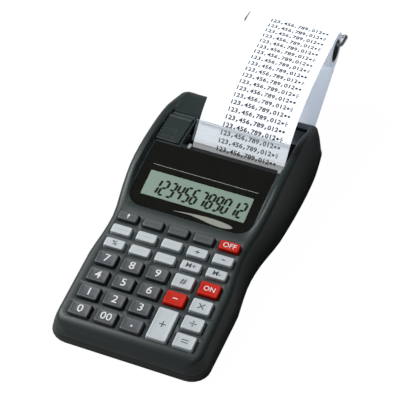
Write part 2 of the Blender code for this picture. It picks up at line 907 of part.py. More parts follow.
def display():
    """The glossy panel with its window, and the display module under it."""
    panel = deck_slab(
        "display_panel",
        display_front - panel_corner,
        display_back + panel_corner,
        panel_half_width + panel_corner,
        panel_thickness,
        0.0,
        16,
    )
    panel.hide_render = False
    panel.display_type = "TEXTURED"
    panel.data.materials.append(material("display_panel", black, 0.12))
    prism = cutter("panel_shape", *upright(panel_outline(0.0), part_height, deck_top + cheek_rise + overrun))
    boolean(panel, prism, "INTERSECT")
    boolean(panel, cutter("panel_window", *window_block(0.0, panel_thickness + overrun, overrun)))
    panel.data.shade_smooth()
    panel.data.set_sharp_from_angle(angle=math.radians(35))

    glass_out = -gap
    body_out = module_margin / 2 - gap
    outline_glass = rounded(window_width + 2 * glass_out, window_length + 2 * glass_out, key_round)
    outline_body = rounded(window_width + 2 * body_out, window_length + 2 * body_out, key_round)
    glass_top = -glass_sink
    low = -panel_thickness - gap - module_thickness
    middle = -panel_thickness - gap
    levels = [(outline_body, low), (outline_body, middle), (outline_glass, middle), (outline_glass, glass_top)]
    rings = [[(x, y, z) for x, y in outline] for outline, z in levels]
    made = make("lcd_module", *placed(loft(rings), window_frame()), (lcd_green, 0.25))
    return made


def ink_roller_lid():
    """The hinged lid over the ink roller: grip ribs, a raised lip beside the bay, and a hinge barrel."""
    rings = []
    lip = lid_lip_width
    for y in np.linspace(lid_front_y, lid_back_y, 8):
        top, low = deck(y), deck(y) - lid_thickness
        rise = lid_lip_height * min(1.0, (lid_back_y - y) / lid_lip_run + lid_lip_end_share)
        soft = rise / 3
        ring = (
            (lid_left, low),
            (lid_right, low),
            (lid_right, top + rise - soft),
            (lid_right - soft, top + rise),
            (lid_right - lip + soft, top + rise),
            (lid_right - lip, top),
            (lid_left, top),
        )
        rings.append([(x, y, z) for x, z in ring])
    lid = make("ink_roller_cover", *loft(rings), (charcoal, 0.5))
    lid.location = (0.0, barrel_y, lid_sink)
    lid.data.transform(Matrix.Translation((0.0, -barrel_y, -lid_sink)))
    profile = [
        (lid_left - pin_length, pin_radius),
        (lid_left, pin_radius),
        (lid_left, barrel_radius),
        (lid_right, barrel_radius),
        (lid_right, pin_radius),
        (lid_right + pin_length, pin_radius),
    ]
    barrel = cutter("lid_barrel", *turned(profile, barrel_y, lid_sink, 16))
    boolean(lid, barrel, "UNION")
    ribs = []
    inset = rib_inset_share * (lid_right - lid_left)
    crown = rib_crown_share * rib_width
    for k in range(rib_count):
        y = lid_front_y + rib_start + k * rib_pitch
        low, high = deck(y) - lid_thickness / 2, deck(y) + rib_height
        outline = ((y, low), (y + rib_width, low), (y + rib_width - crown, high), (y + crown, high))
        ribs.append(side_plate(outline, lid_left + inset, lid_right - lip - inset))
    boolean(lid, cutter("lid_ribs", *joined(ribs)), "UNION")
    return lid


feed_axis = (bay_front + feed_y, deck_top - feed_drop)
rod_axis = (bay_front + carriage_y, deck_top - feed_drop)
ink_axis = (rod_axis[0] + wheel_radius + type_height + ink_radius + gap, rod_axis[1])
touch = feed_radius + wrap_gap


def web_path():
    """Middle line of the paper: from the roll in at the back, round the feed roller, and over the roll."""
    out = roll_radius + wrap_gap
    back_y, back_z = body_length - wall / 2, slot_rise
    away = math.hypot(roll_y - back_y, roll_height - back_z)
    aim = math.atan2(roll_height - back_z, roll_y - back_y)
    dip = aim - math.asin(out / away)
    reach_in = math.sqrt(away * away - out * out)
    path = [rotate_point(back_y, back_z, dip, reach_in)]
    path.append(rotate_point(back_y, back_z, dip, reach_in / 2))
    path.append((back_y, back_z))
    bend_y, bend_z = back_y, back_z
    level_y, level_z = bay_back - rear_rim, feed_level
    for t in np.linspace(0, 1, web_steps)[1:]:
        y = bend_y + (level_y - bend_y) * t
        drop = math.tan(dip) * (y - bend_y) * (1 - t) ** 2
        path.append((y, bend_z + (level_z - bend_z) * t * t * (3 - 2 * t) + drop))
    first = rotate_point(*feed_axis, touch_angle, touch)
    low_y = feed_axis[0] + 2 * feed_radius
    for t in np.linspace(0, 1, web_steps):
        # A cubic curve from the level run up to the front of the feed roller
        pull = feed_pull_share * feed_radius
        meet = rotate_point(*first, touch_angle + math.pi / 2, pull)
        points = ((low_y, feed_level), (low_y - pull, feed_level), meet, first)
        weights = ((1 - t) ** 3, 3 * t * (1 - t) ** 2, 3 * t * t * (1 - t), t**3)
        path.append(tuple(sum(w * p[k] for w, p in zip(weights, points)) for k in (0, 1)))
    leave = math.pi / 2 + paper_lean
    for t in np.linspace(touch_angle, leave, web_steps)[1:]:
        path.append(rotate_point(*feed_axis, t, touch))
    top = path[-1]
    straight = rotate_point(*top, paper_lean, tear_height + tear_foot)
    path.append(straight)
    over_y, over_z = roll_y, roll_height + out
    pull_a, pull_b = (over_y - straight[0]) * arch_front_share, (over_y - straight[0]) * arch_back_share
    rise = rotate_point(*straight, paper_lean, pull_a)
    points = (straight, rise, (over_y - pull_b, over_z), (over_y, over_z))
    for t in np.linspace(0, 1, curl_steps)[1:]:
        weights = ((1 - t) ** 3, 3 * t * (1 - t) ** 2, 3 * t * t * (1 - t), t**3)
        path.append(tuple(sum(w * p[k] for w, p in zip(weights, points)) for k in (0, 1)))
    for t in np.linspace(math.pi / 2, wrap_angle, web_steps)[1:]:
        path.append(rotate_point(roll_y, roll_height, t, out))
    return path


def thickened(path, thickness):
    """A closed outline of even thickness about a path of (y, z) points."""
    points = np.array(path)
    ahead = np.gradient(points, axis=0)
    ahead /= np.linalg.norm(ahead, axis=1)[:, None]
    side = np.column_stack([-ahead[:, 1], ahead[:, 0]]) * thickness / 2
    return [tuple(p) for p in points + side] + [tuple(p) for p in (points - side)[::-1]]


def ribbon(path, x0, x1, thickness):
    """A sheet of even thickness along a path of (y, z) points, closed all round."""
    outline = thickened(path, thickness)
    half = len(path)
    vertices = [(x0, y, z) for y, z in outline] + [(x1, y, z) for y, z in outline]
    count = len(outline)
    faces = []
    for k in range(count):
        n = (k + 1) % count
        faces.append((k, n, n + count, k + count))
    for k in range(half - 1):
        a, b, c, d = k, k + 1, count - 2 - k, count - 1 - k
        faces.append((d, c, b, a))
        faces.append((a + count, b + count, c + count, d + count))
    return vertices, faces


def paper():
    """The web in one piece, and the wound roll on its core."""
    make("paper_strip", *ribbon(web_path(), paper_left, paper_right, paper_thickness), (white, 0.85))
    outer = [(paper_left, roll_radius), (paper_right, roll_radius)]
    inner = [(paper_left, core_radius), (paper_right, core_radius)]
    roll = make("paper_roll", *tube(outer, inner, 0.0, 0.0, 32), (white, 0.85))
    roll.location = (0.0, roll_y, roll_height)
    return roll


def tear_bar():
    """The clear plate in front of the paper, leaning with it, on two feet that stand on the bar."""
    lean = paper_lean
    top = rotate_point(*feed_axis, math.pi / 2 + lean, touch)
    offset = tear_gap + paper_thickness / 2 + bar_thickness / 2
    start = rotate_point(*top, lean + math.pi / 2, offset)
    foot_z = deck(bay_front) + gap
    run = (foot_z + bar_thickness / 2 - start[1]) / math.sin(lean)
    low = rotate_point(*start, lean, run)
    high = rotate_point(*low, lean, tear_height)
    serration = rotate_point(*high, lean - math.pi / 5, bar_thickness / 2)
    outline = thickened([low, high, serration], bar_thickness)
    x0, x1 = paper_left - tear_side, bay_half_width - gap
    bar = make("tear_bar", *side_plate(outline, x0, x1), (clear, 0.15))
    right_foot = x1 - 2 * cheek_blend
    for k, (a, b) in enumerate(((x0, x0 + tear_foot), (right_foot - tear_foot, right_foot))):
        front = bay_front - bar_length + gap
        foot = block((a, front, foot_z), (b, low[0] + bar_thickness / 2, foot_z + bar_thickness))
        boolean(bar, cutter(f"tear_foot_{k}", *foot), "UNION")
    return bar


def rounded_path(corners, radii, samples):
    """Straight runs between corners, with each corner turned on a smooth quadratic bend."""
    points = [Vector(corners[0])]
    for k in range(1, len(corners) - 1):
        before, corner, after = (Vector(corners[n]) for n in (k - 1, k, k + 1))
        reach_in = radii[k - 1]
        enter = corner + (before - corner).normalized() * reach_in
        leave = corner + (after - corner).normalized() * reach_in
        for t in np.linspace(0, 1, samples):
            points.append(enter * (1 - t) ** 2 + corner * 2 * t * (1 - t) + leave * t * t)
    points.append(Vector(corners[-1]))
    return points


def wire_path():
    """One wire: socket, leg behind the paper, bend, crossbar through the core, and the same back."""
    bar_z = roll_height + core_radius - wire_radius - gap
    behind = roll_y + roll_radius + wire_radius + 2 * wrap_gap
    half = paper_width / 2 + wire_side
    out = body_length + wire_bend
    corners = []
    for side in (-1, 1):
        x_leg, x_out = paper_middle + side * wire_leg_half, paper_middle + side * half
        run = [
            (x_leg, body_length - wire_plug + gap, wire_level),
            (x_leg, out + wire_drop, wire_level),
            (x_leg, behind + wire_drop, roll_height - roll_radius),
            (x_out, behind, bar_z - wire_bend / 2),
            (x_out, roll_y, bar_z),
        ]
        corners += run if side < 0 else run[::-1]
    end_bend = wire_side * wire_end_share
    radii = [wire_bend] * 3 + [end_bend] * 2 + [wire_bend] * 3
    return rounded_path(corners, radii, wire_samples // 2)


def roll_holder():
    points = wire_path()
    curve = bpy.data.curves.new("roll_holder", "CURVE")
    curve.dimensions = "3D"
    curve.bevel_depth = wire_radius
    curve.bevel_resolution = 2
    curve.use_fill_caps = True
    spline = curve.splines.new("POLY")
    spline.points.add(len(points) - 1)
    for point, place_at in zip(spline.points, points):
        point.co = (*place_at, 1.0)
    curve.materials.append(material("roll_holder", chrome, 0.08, 1.0))
    made = bpy.data.objects.new("roll_holder", curve)
    bpy.context.scene.collection.objects.link(made)
    made.parent = centre
    return made


plate_left = -bay_left + gap
plate_right = bay_half_width + gap
arm_left = plate_left - gear_room - plate
outer_left = -bay_half_width - plate
gear_x = (plate_left - gear_room / 2 - gear_width / 2, plate_left - gear_room / 2 + gear_width / 2)
idler_reach = gear_module * (feed_teeth + idler_teeth) / 2 + backlash
pinion_reach = gear_module * (idler_teeth + pinion_teeth) / 2 + backlash
idler_axis = rotate_point(*feed_axis, idler_angle, idler_reach)
pinion_axis = rotate_point(*idler_axis, pinion_angle, pinion_reach)
frame_level = feed_level + paper_thickness + 2 * gap


def printer_frame():
    """Side plates, a floor over the paper's way in, and the rod that the carriage slides on."""
    bottom = foot_height + door_recess + door_pad + gap
    high = feed_axis[1] + shaft_radius + plate
    back = bay_back - gap
    low_back = deck(bay_back) - display_wall - gap
    front = feed_axis[0] - feed_radius
    rod_front = rod_axis[0] - rod_radius - plate
    rod_low = rod_axis[1] - rod_radius - plate
    back_high = min(low_back, high) - plate
    bend = feed_axis[0] + 2 * feed_radius
    inner = [(front, bottom), (back, bottom), (back, back_high), (bend, high), (front, high)]
    outer = [
        (feed_axis[0], bottom),
        (back, bottom),
        (back, back_high),
        (bend, high),
        (rod_front, high),
        (rod_front, rod_low),
        (feed_axis[0], rod_low),
    ]
    arm_back = ink_axis[0] + ink_radius + idler_teeth * gear_module / 2
    arm = [
        (feed_axis[0], bottom),
        (arm_back, bottom),
        (arm_back, high - plate),
        (ink_axis[0] + ink_radius, high),
        (rod_front, high),
        (rod_front, rod_low),
        (feed_axis[0], rod_low),
    ]
    short_arm = [(front, bottom), (arm_back, bottom), (arm_back, high - plate)]
    short_arm += [(ink_axis[0], high), (front, high)]
    floor = frame_level + frame_floor
    right = plate_right + plate
    step_front = feed_axis[0] + plate
    frame = make("printer_frame", *side_plate(inner, plate_left, plate_left + plate), (black, 0.7))
    pieces = {
        "frame_right": side_plate(outer, plate_right, right),
        "frame_arm": side_plate(short_arm, arm_left, arm_left + plate),
        "frame_outer": side_plate(arm, outer_left, outer_left + plate),
        "frame_floor": block((plate_left, feed_axis[0] + feed_radius, frame_level), (right, back, floor)),
        "frame_step": block((outer_left, step_front, frame_level), (plate_left + plate, arm_back, floor)),
        "frame_rod": bar_along(outer_left + plate / 2, right - plate / 2, rod_radius, rod_axis),
    }
    for name, shape in pieces.items():
        boolean(frame, cutter(name, *shape), "UNION")
    run = pin_clearance
    holes = [
        bar_along(arm_left - overrun, right + overrun, shaft_radius + run, feed_axis),
        bar_along(arm_left - overrun, plate_left + plate + overrun, ink_pin + run, idler_axis),
        bar_along(plate_left - gap, plate_left + plate + gap, motor_boss + run, pinion_axis),
        bar_along(outer_left - overrun, arm_left + plate + gap, ink_pin + run, ink_axis),
    ]
    for k, shape in enumerate(holes):
        boolean(frame, cutter(f"frame_hole_{k}", *shape))
    return frame


def spinning(name, shape, axis, look):
    """An object whose origin lies on its axis along x."""
    vertices, faces = shape
    moved = [(v[0], v[1] - axis[0], v[2] - axis[1]) for v in vertices]
    made = make(name, moved, faces, look)
    made.location = (0.0, *axis)
    return made


def toothed(axis, teeth, start, shaft, x0, x1):
    """A gear with a shaft through it that reaches from x0 to x1."""
    outline = gear_outline(*axis, teeth, start)
    disc = loft([at_x(outline, gear_x[0]), at_x(outline, gear_x[1])])
    return disc, bar_along(x0, x1, shaft, axis, 12)


def mechanism():
    """Feed roller with its gear, idler, motor pinion, motor, print carriage, type wheel and ink roller."""
    shaft_start = arm_left + plate / 2 + gap
    disc, rod = toothed(feed_axis, feed_teeth, idler_angle, shaft_radius, shaft_start, plate_right + plate)
    feed = spinning("feed_roller", disc, feed_axis, (steel, 0.4, 0.5))
    body = [
        (paper_left, feed_radius - key_round),
        (paper_left + key_round, feed_radius),
        (paper_right - key_round, feed_radius),
        (paper_right, feed_radius - key_round),
    ]
    boolean(feed, cutter("feed_shaft", *rod), "UNION")
    boolean(feed, cutter("feed_rubber", *turned(body, *feed_axis, 24)), "UNION")

    half_tooth = math.pi / idler_teeth
    idler_start = idler_angle + math.pi + half_tooth
    pin_ends = (arm_left + plate / 2, plate_left + plate / 2)
    disc, rod = toothed(idler_axis, idler_teeth, idler_start, ink_pin, *pin_ends)
    idler = spinning("idler_gear", disc, idler_axis, (white, 0.5))
    boolean(idler, cutter("idler_pin", *rod), "UNION")

    # The idler's tooth nearest the line to the pinion decides where the pinion's gap must be
    idler_step = math.tau / idler_teeth
    offset = (pinion_angle - idler_start) / idler_step
    lead = (offset - round(offset)) * idler_step
    pinion_step = math.tau / pinion_teeth
    pinion_start = pinion_angle + math.pi + pinion_step / 2 + lead * idler_teeth / pinion_teeth
    shaft_end = plate_left + plate + 2 * motor_boss
    disc, rod = toothed(pinion_axis, pinion_teeth, pinion_start, motor_shaft, gear_x[0], shaft_end)
    pinion = spinning("motor_pinion", disc, pinion_axis, (brass, 0.3, 1.0))
    boolean(pinion, cutter("pinion_shaft", *rod), "UNION")

    face = plate_left + plate + gap
    profile = [
        (plate_left + gap, motor_boss),
        (face, motor_boss),
        (face, motor_radius - case_corner),
        (face + case_corner, motor_radius),
        (face + motor_length - case_corner, motor_radius),
        (face + motor_length, motor_radius - case_corner),
    ]
    motor = make("drive_motor", *turned(profile, *pinion_axis, 24), (steel, 0.35, 0.9))
    bore = motor_shaft + pin_clearance
    hole = bar_along(plate_left - overrun, shaft_end + gap, bore, pinion_axis, 12)
    boolean(motor, cutter("motor_bore", *hole))

    home = outer_left + plate + 2 * gap
    cheek = rod_radius + carriage_wall + gap
    ends = ((home, home + carriage_wall), (home + carriage_width - carriage_wall, home + carriage_width))
    back = rod_axis[0] + cheek
    front = rod_axis[0] - carriage_reach
    low, high = rod_axis[1] - cheek, rod_axis[1] + cheek
    cheek_outline = [(front, low), (back, low), (back, high), (front, high)]
    carriage = spinning("print_carriage", side_plate(cheek_outline, *ends[0]), rod_axis, (black, 0.5))
    boolean(carriage, cutter("carriage_cheek", *side_plate(cheek_outline, *ends[1])), "UNION")
    bridge = block((home, front - carriage_wall, low), (home + carriage_width, front + gap, high))
    boolean(carriage, cutter("carriage_bridge", *bridge), "UNION")
    bore = rod_radius + run_clearance
    hole = bar_along(home - overrun, home + carriage_width + overrun, bore, rod_axis)
    boolean(carriage, cutter("carriage_bore", *hole))

    wheel_x = home + (carriage_width - wheel_width) / 2
    step = math.tau / type_count
    outline = []
    for k in range(type_count):
        for share, raised in type_shares:
            outline.append(rotate_point(*rod_axis, (k + share) * step, wheel_radius + raised * type_height))
    star = loft([at_x(outline, wheel_x), at_x(outline, wheel_x + wheel_width)])
    wheel = spinning("type_wheel", star, rod_axis, (black, 0.5))
    hole = bar_along(wheel_x - overrun, wheel_x + wheel_width + overrun, bore, rod_axis)
    boolean(wheel, cutter("wheel_bore", *hole))

    ink_x = outer_left + plate + 2 * gap
    ink_width = ink_share * (arm_left - ink_x)
    profile = [
        (outer_left + gap, ink_pin),
        (ink_x, ink_pin),
        (ink_x, ink_radius - key_round),
        (ink_x + key_round, ink_radius),
        (ink_x + ink_width - key_round, ink_radius),
        (ink_x + ink_width, ink_radius - key_round),
        (ink_x + ink_width, ink_pin),
        (arm_left + plate / 2 - gap, ink_pin),
    ]
    spinning("ink_roller", turned(profile, *ink_axis, 24), ink_axis, (ink_violet, 0.9))


def jack_face():
    """The x of the jack's mouth, just inside the left wall."""
    return -half_width(jack_y, wall, shoulder_curve) + gap


def board_plane():
    """A frame under the key field: its origin below the front row, tilted along the chord of the deck."""
    y0, y1 = row_places[0], row_places[-1]
    angle = math.atan2(deck(y1) - deck(y0), y1 - y0)
    return Matrix.Translation((0.0, y0, deck(y0))) @ Matrix.Rotation(angle, 4, "X")


def board_and_membrane():
    """The rubber sheet with a low pad under each key, and the board with its side-entry power jack."""
    frame = board_plane()
    below = wall + 2 * gap + flange_thickness + key_travel + 3 * gap
    half = (columns - 1) * column_pitch / 2 + key_width / 2
    front = -front_margin + board_front + wall
    back = row_places[-1] - row_places[0] + small_key_depth / 2 + gap
    low = -below - dome_height - membrane_thickness
    sheet = rounded(2 * half, back - front, key_corner)
    middle = (front + back) / 2
    outline = [(x, y + middle) for x, y in sheet]
    rings = [[(x, y, z) for x, y in outline] for z in (low, low + membrane_thickness)]
    membrane = make("key_membrane", *placed(loft(rings), frame), (silicone, 0.8))
    domes = []
    inverse = frame.inverted()
    for _, column, first, last, _ in key_rows():
        spot = inverse @ key_frame(column, first, last).translation
        rings = []
        crown = low + membrane_thickness + dome_height / 2
        for radius, z in ((dome_radius, low + membrane_thickness / 2), (dome_radius * dome_top_share, crown)):
            rings.append([(a, b, z) for a, b in circle(spot.x, spot.y, radius, 8)])
        domes.append(placed(loft(rings), frame))
    boolean(membrane, cutter("membrane_domes", *joined(domes)), "UNION")

    top = low - gap
    rings = [[(x, y, z) for x, y in outline] for z in (top - board_thickness, top)]
    board = make("main_board", *placed(loft(rings), frame), (board_green, 0.5))
    under = (frame @ Vector((0.0, jack_y - row_places[0] - jack_width / 2, top - board_thickness))).z
    x_out, y_mid = jack_face(), jack_y
    y0, y1 = y_mid - jack_width / 2, y_mid + jack_width / 2
    body = block((x_out, y0, jack_z - jack_width / 2), (x_out + jack_length, y1, under + board_thickness / 2))
    boolean(board, cutter("jack_body", *body), "UNION")
    bore = bar_along(x_out - overrun, x_out + jack_length - wall, jack_radius, (y_mid, jack_z))
    boolean(board, cutter("jack_bore", *bore))
    pin = bar_along(x_out + gap, x_out + jack_length - wall / 2, jack_pin_radius, (y_mid, jack_z), 12)
    boolean(board, cutter("jack_pin", *pin), "UNION")
    return membrane, board


def build():
    reach = max(point.y for point in wire_path()) + wire_radius
    centre.location = (0.0, -reach / 2, 0.0)
    upper_case()
    lower_case()
    feet()
    battery_door()
    batteries()
    display()
    ink_roller_lid()
    paper()
    tear_bar()
    roll_holder()
    printer_frame()
    mechanism()
    board_and_membrane()
    for key in key_rows():
        key_cap(*key)


build()
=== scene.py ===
import math
import bpy
import numpy as np
from mathutils import Matrix, Vector


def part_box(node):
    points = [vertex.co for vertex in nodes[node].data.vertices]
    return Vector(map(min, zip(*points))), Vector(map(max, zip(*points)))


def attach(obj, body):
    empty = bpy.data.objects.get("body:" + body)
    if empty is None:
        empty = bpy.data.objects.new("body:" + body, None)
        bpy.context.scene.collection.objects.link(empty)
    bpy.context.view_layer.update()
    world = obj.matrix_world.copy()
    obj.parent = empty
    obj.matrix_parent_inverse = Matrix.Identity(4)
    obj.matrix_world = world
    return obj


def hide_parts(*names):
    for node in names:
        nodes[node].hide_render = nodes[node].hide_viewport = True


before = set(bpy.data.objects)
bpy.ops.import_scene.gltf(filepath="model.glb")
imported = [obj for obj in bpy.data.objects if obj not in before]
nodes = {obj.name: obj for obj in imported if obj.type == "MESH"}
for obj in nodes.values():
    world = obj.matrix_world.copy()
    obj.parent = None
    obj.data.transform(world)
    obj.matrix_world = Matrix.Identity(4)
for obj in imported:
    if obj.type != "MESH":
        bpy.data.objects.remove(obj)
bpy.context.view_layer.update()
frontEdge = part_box("upper_case")[0].y  # world y of the case's front edge
mm = 0.001
print("stage: frame loaded")

# Sizes are millimetres from the middle line (x), the case's front edge (y) and the table (z)
caseForm = {
    "length": 200.035, "deckTop": 32.2,
    "deck": ((0, .484), (.06, .522), (.24, .64), (.395, .764), (.49, .851), (.577, .95), (.635, .988), (.69, 1),
             (.75, .991), (.825, .945), (.905, .8), (.972, .65), (1, .57)),
}
keyRows = (12.5, 24.56, 36.62, 48.68, 59.655, 69.545, 79.435)  # middle of each row, from the front
columnPitch = 15.5


def hexColour(code):
    # sRGB hex to the linear values that shaders take
    c = np.array([int(code[k:k + 2], 16) for k in (1, 3, 5)]) / 255
    return (*np.where(c <= 0.04045, c / 12.92, ((c + 0.055) / 1.055) ** 2.4), 1.0)


def addNode(tree, kind, settings=None, links=None):
    # one node, with its plain settings, its socket values and the sockets that feed it
    node = tree.nodes.new(kind)
    for key, value in (settings or {}).items():
        if key in node.inputs:
            node.inputs[key].default_value = value
        else:
            setattr(node, key, value)
    for key, source in (links or {}).items():
        tree.links.new(source, node.inputs[key])
    return node


def newMaterial(name, colour, roughness, metallic=0.0, **extra):
    # a Principled material; uniform values go straight on its sockets
    material = bpy.data.materials.new(name)
    material.use_nodes = True
    shader = material.node_tree.nodes["Principled BSDF"]
    shader.inputs["Base Color"].default_value = hexColour(colour)
    shader.inputs["Roughness"].default_value = roughness
    shader.inputs["Metallic"].default_value = metallic
    for key, value in extra.items():
        shader.inputs[key].default_value = value
    return material, material.node_tree, shader


def grain(tree, shader, size, depth, tint=None, tintShare=0.0, roughSpread=0.0, roughBase=0.5, detail=2.0):
    # moulded or fibrous grain: noise of a size in mm, used for bump, a little tint and a little roughness
    place = addNode(tree, "ShaderNodeTexCoord")
    noise = addNode(tree, "ShaderNodeTexNoise", {"Scale": 1000 / size, "Detail": detail, "Roughness": 0.55},
                    {"Vector": place.outputs["Object"]})
    bump = addNode(tree, "ShaderNodeBump", {"Strength": 1.0, "Distance": depth * mm},
                   {"Height": noise.outputs["Fac"]})
    tree.links.new(bump.outputs["Normal"], shader.inputs["Normal"])
    if tint:
        base = tuple(shader.inputs["Base Color"].default_value)
        mix = addNode(tree, "ShaderNodeMix", {"data_type": "RGBA"})
        share = addNode(tree, "ShaderNodeMapRange",
                        {"From Min": 0.3, "From Max": 0.7, "To Min": 0.0, "To Max": tintShare},
                        {"Value": noise.outputs["Fac"]})
        mix.inputs[6].default_value = base
        mix.inputs[7].default_value = hexColour(tint)
        tree.links.new(share.outputs["Result"], mix.inputs[0])
        tree.links.new(mix.outputs[2], shader.inputs["Base Color"])
    if roughSpread:
        rough = addNode(tree, "ShaderNodeMapRange",
                        {"From Min": 0.3, "From Max": 0.7, "To Min": roughBase - roughSpread,
                         "To Max": roughBase + roughSpread},
                        {"Value": noise.outputs["Fac"]})
        tree.links.new(rough.outputs["Result"], shader.inputs["Roughness"])
    return noise


def buildMaterials():
    made = {}
    # ABS from a spark-eroded mould: an even fine grain that breaks up the shine
    made["case"], tree, shader = newMaterial("abs_spark_eroded_charcoal", "#1c2626", 0.48,
                                             **{"Specular IOR Level": 0.4})
    grain(tree, shader, 0.7, 0.01, "#232d2d", 0.5, 0.06, 0.48)
    # a darker copy of the same grained ABS for the lower shell and battery door: painted shade for the walls that face
    # down and away from the light
    made["caseShadedCopy"], tree, shader = newMaterial("abs_spark_eroded_painted_shade", "#121819", 0.5,
                                                **{"Specular IOR Level": 0.4})
    grain(tree, shader, 0.7, 0.012, "#181f20", 0.5, 0.06, 0.5)
    # Polished acrylic, printed black behind: mirror-like, with faint polishing haze
    made["panel"], tree, shader = newMaterial("acrylic_polished_black", "#0d0e0b", 0.09, IOR=1.49)
    grain(tree, shader, 14.0, 0.001, "#14150f", 0.6, 0.02, 0.09)
    # ABS key caps, two-shot moulded and lightly textured
    made["darkKey"], tree, shader = newMaterial("abs_two_shot_slate_key", "#3a3f43", 0.45)
    grain(tree, shader, 0.5, 0.006, "#44494d", 0.35, 0.05, 0.45)
    made["lightKey"], tree, shader = newMaterial("abs_two_shot_pale_key", "#adb4b8", 0.42)
    grain(tree, shader, 0.5, 0.006, "#b9c0c4", 0.35, 0.05, 0.42)
    made["redKey"], tree, shader = newMaterial("abs_two_shot_red_key", "#b21600", 0.5, **{"Specular IOR Level": 0.2})
    grain(tree, shader, 0.5, 0.006, "#bd1c02", 0.35, 0.05, 0.5)
    # Printed legends, a thin matt ink film
    made["whiteInk"], tree, shader = newMaterial("pad_print_white", "#d3d6d7", 0.5)
    grain(tree, shader, 0.3, 0.002, "#c4c7c9", 0.3)
    made["greyInk"], tree, shader = newMaterial("pad_print_grey", "#2b3135", 0.5)
    grain(tree, shader, 0.3, 0.002, "#373d42", 0.3)
    # Twisted-nematic display: grey-green reflector under glass, with a fine grain of tone
    made["lcd"], tree, shader = newMaterial("lcd_reflector_grey_green", "#7f9386", 0.22)
    grain(tree, shader, 0.4, 0.002, "#788b7f", 0.5)
    made["segment"], tree, shader = newMaterial("lcd_segment_dark", "#070c09", 0.7, **{"Specular IOR Level": 0.15})
    grain(tree, shader, 0.4, 0.002, "#0d1511", 0.5)
    # Uncoated bond paper: soft fibres, no shine; a thin web that passes light, and a faint blue emission that is
    # painted light, brightening the paper where it lies in shade
    made["paper"], tree, shader = newMaterial("bond_paper_painted_glow", "#fafbfc", 0.9,
                                              **{"Emission Color": hexColour("#e4eeff"), "Emission Strength": 0.2})
    grain(tree, shader, 0.7, 0.015, "#f0f3f5", 0.6, detail=5.0)
    through = addNode(tree, "ShaderNodeBsdfTranslucent", {"Color": hexColour("#eef3fa")})
    thin = addNode(tree, "ShaderNodeMixShader", {"Fac": 0.2})
    tree.links.new(shader.outputs["BSDF"], thin.inputs[1])
    tree.links.new(through.outputs["BSDF"], thin.inputs[2])
    tree.links.new(thin.outputs["Shader"], tree.nodes["Material Output"].inputs["Surface"])
    # the same web inside the case, given a darker colour: painted shade for its run through the shaded bay
    made["paperInside"], tree, shader = newMaterial("bond_paper_painted_shade", "#a9acae", 0.9)
    grain(tree, shader, 0.7, 0.015, "#9ea1a3", 0.6, detail=5.0)
    made["paperInk"], tree, shader = newMaterial("ink_roller_print", "#1c222b", 0.8)
    grain(tree, shader, 0.25, 0.002, "#333a45", 0.6)
    made["card"], tree, shader = newMaterial("grey_board_core", "#6d7170", 0.85)
    grain(tree, shader, 0.6, 0.03, "#8a8e8c", 0.6, detail=5.0)
    # Clear polystyrene, injection moulded: mostly see-through, a faint grey-green body and a polished face
    made["clear"], tree, shader = newMaterial("polystyrene_clear", "#a9b4b4", 0.07, IOR=1.59, Alpha=0.13)
    grain(tree, shader, 9.0, 0.002)
    made["clearEdge"], tree, shader = newMaterial("polystyrene_cut_edge", "#a4adae", 0.35, IOR=1.59, Alpha=0.6)
    grain(tree, shader, 0.5, 0.004, "#b6bebf", 0.5)
    # Bright chrome on drawn steel wire
    made["chrome"], tree, shader = newMaterial("steel_wire_chromed", "#c9cdd0", 0.14, 1.0)
    grain(tree, shader, 6.0, 0.0004, "#b4b9bc", 0.4, 0.03, 0.14)
    made["steel"], tree, shader = newMaterial("steel_zinc_plated", "#b5b9ba", 0.35, 1.0)
    grain(tree, shader, 0.8, 0.006, "#989d9e", 0.5, 0.08, 0.35)
    made["brass"], tree, shader = newMaterial("brass_hobbed", "#c9a45a", 0.3, 1.0)
    grain(tree, shader, 0.6, 0.006, "#a98645", 0.5, 0.08, 0.3)
    made["printer"], tree, shader = newMaterial("polyacetal_black", "#050708", 0.55, **{"Specular IOR Level": 0.35})
    grain(tree, shader, 0.8, 0.01, "#0a0e0f", 0.5, 0.06, 0.55)
    made["gear"], tree, shader = newMaterial("polyacetal_natural", "#e4e3dc", 0.4)
    grain(tree, shader, 0.8, 0.006, "#d5d3ca", 0.5, 0.05, 0.4)
    made["rubber"], tree, shader = newMaterial("nitrile_rubber_ground", "#26292a", 0.8)
    grain(tree, shader, 0.35, 0.03, "#33383a", 0.6, 0.06, 0.8)
    made["silicone"], tree, shader = newMaterial("silicone_sheet_grey", "#b4b5ae", 0.6)
    grain(tree, shader, 0.6, 0.01, "#a7a8a0", 0.5)
    made["board"], tree, shader = newMaterial("fr4_solder_mask_green", "#1d5a38", 0.35)
    grain(tree, shader, 0.5, 0.01, "#2a6c46", 0.6)
    made["inkFoam"], tree, shader = newMaterial("foam_inked_violet", "#2c1b46", 0.95)
    grain(tree, shader, 0.5, 0.08, "#40285f", 0.7)
    made["cell"], tree, shader = newMaterial("cell_jacket_lacquered", "#2b4f7a", 0.3)
    grain(tree, shader, 2.0, 0.003, "#315a8a", 0.5)
    made["cellBand"], tree, shader = newMaterial("cell_jacket_silver_band", "#b9bdc0", 0.3, 0.7)
    grain(tree, shader, 2.0, 0.003, "#a5aaad", 0.5)
    # Hot-stamped foil on the panel, whose silver also paints a reflection there; black painted shade for the screws'
    # cross recesses; and the cells' ends
    made["foil"], tree, shader = newMaterial("foil_silver_and_painted_glint", "#85887f", 0.35)
    grain(tree, shader, 0.6, 0.001, "#95988f", 0.4)
    # black for the screws' cross recesses: painted shade
    made["socket"], tree, shader = newMaterial("black_painted_shade", "#131516", 0.55)
    grain(tree, shader, 0.6, 0.008, "#1d2021", 0.5)
    made["solder"], tree, shader = newMaterial("tinned_contact", "#c6c8c6", 0.3, 1.0)
    grain(tree, shader, 0.5, 0.006, "#a9aba9", 0.5, 0.08, 0.3)
    return made


looks = buildMaterials()


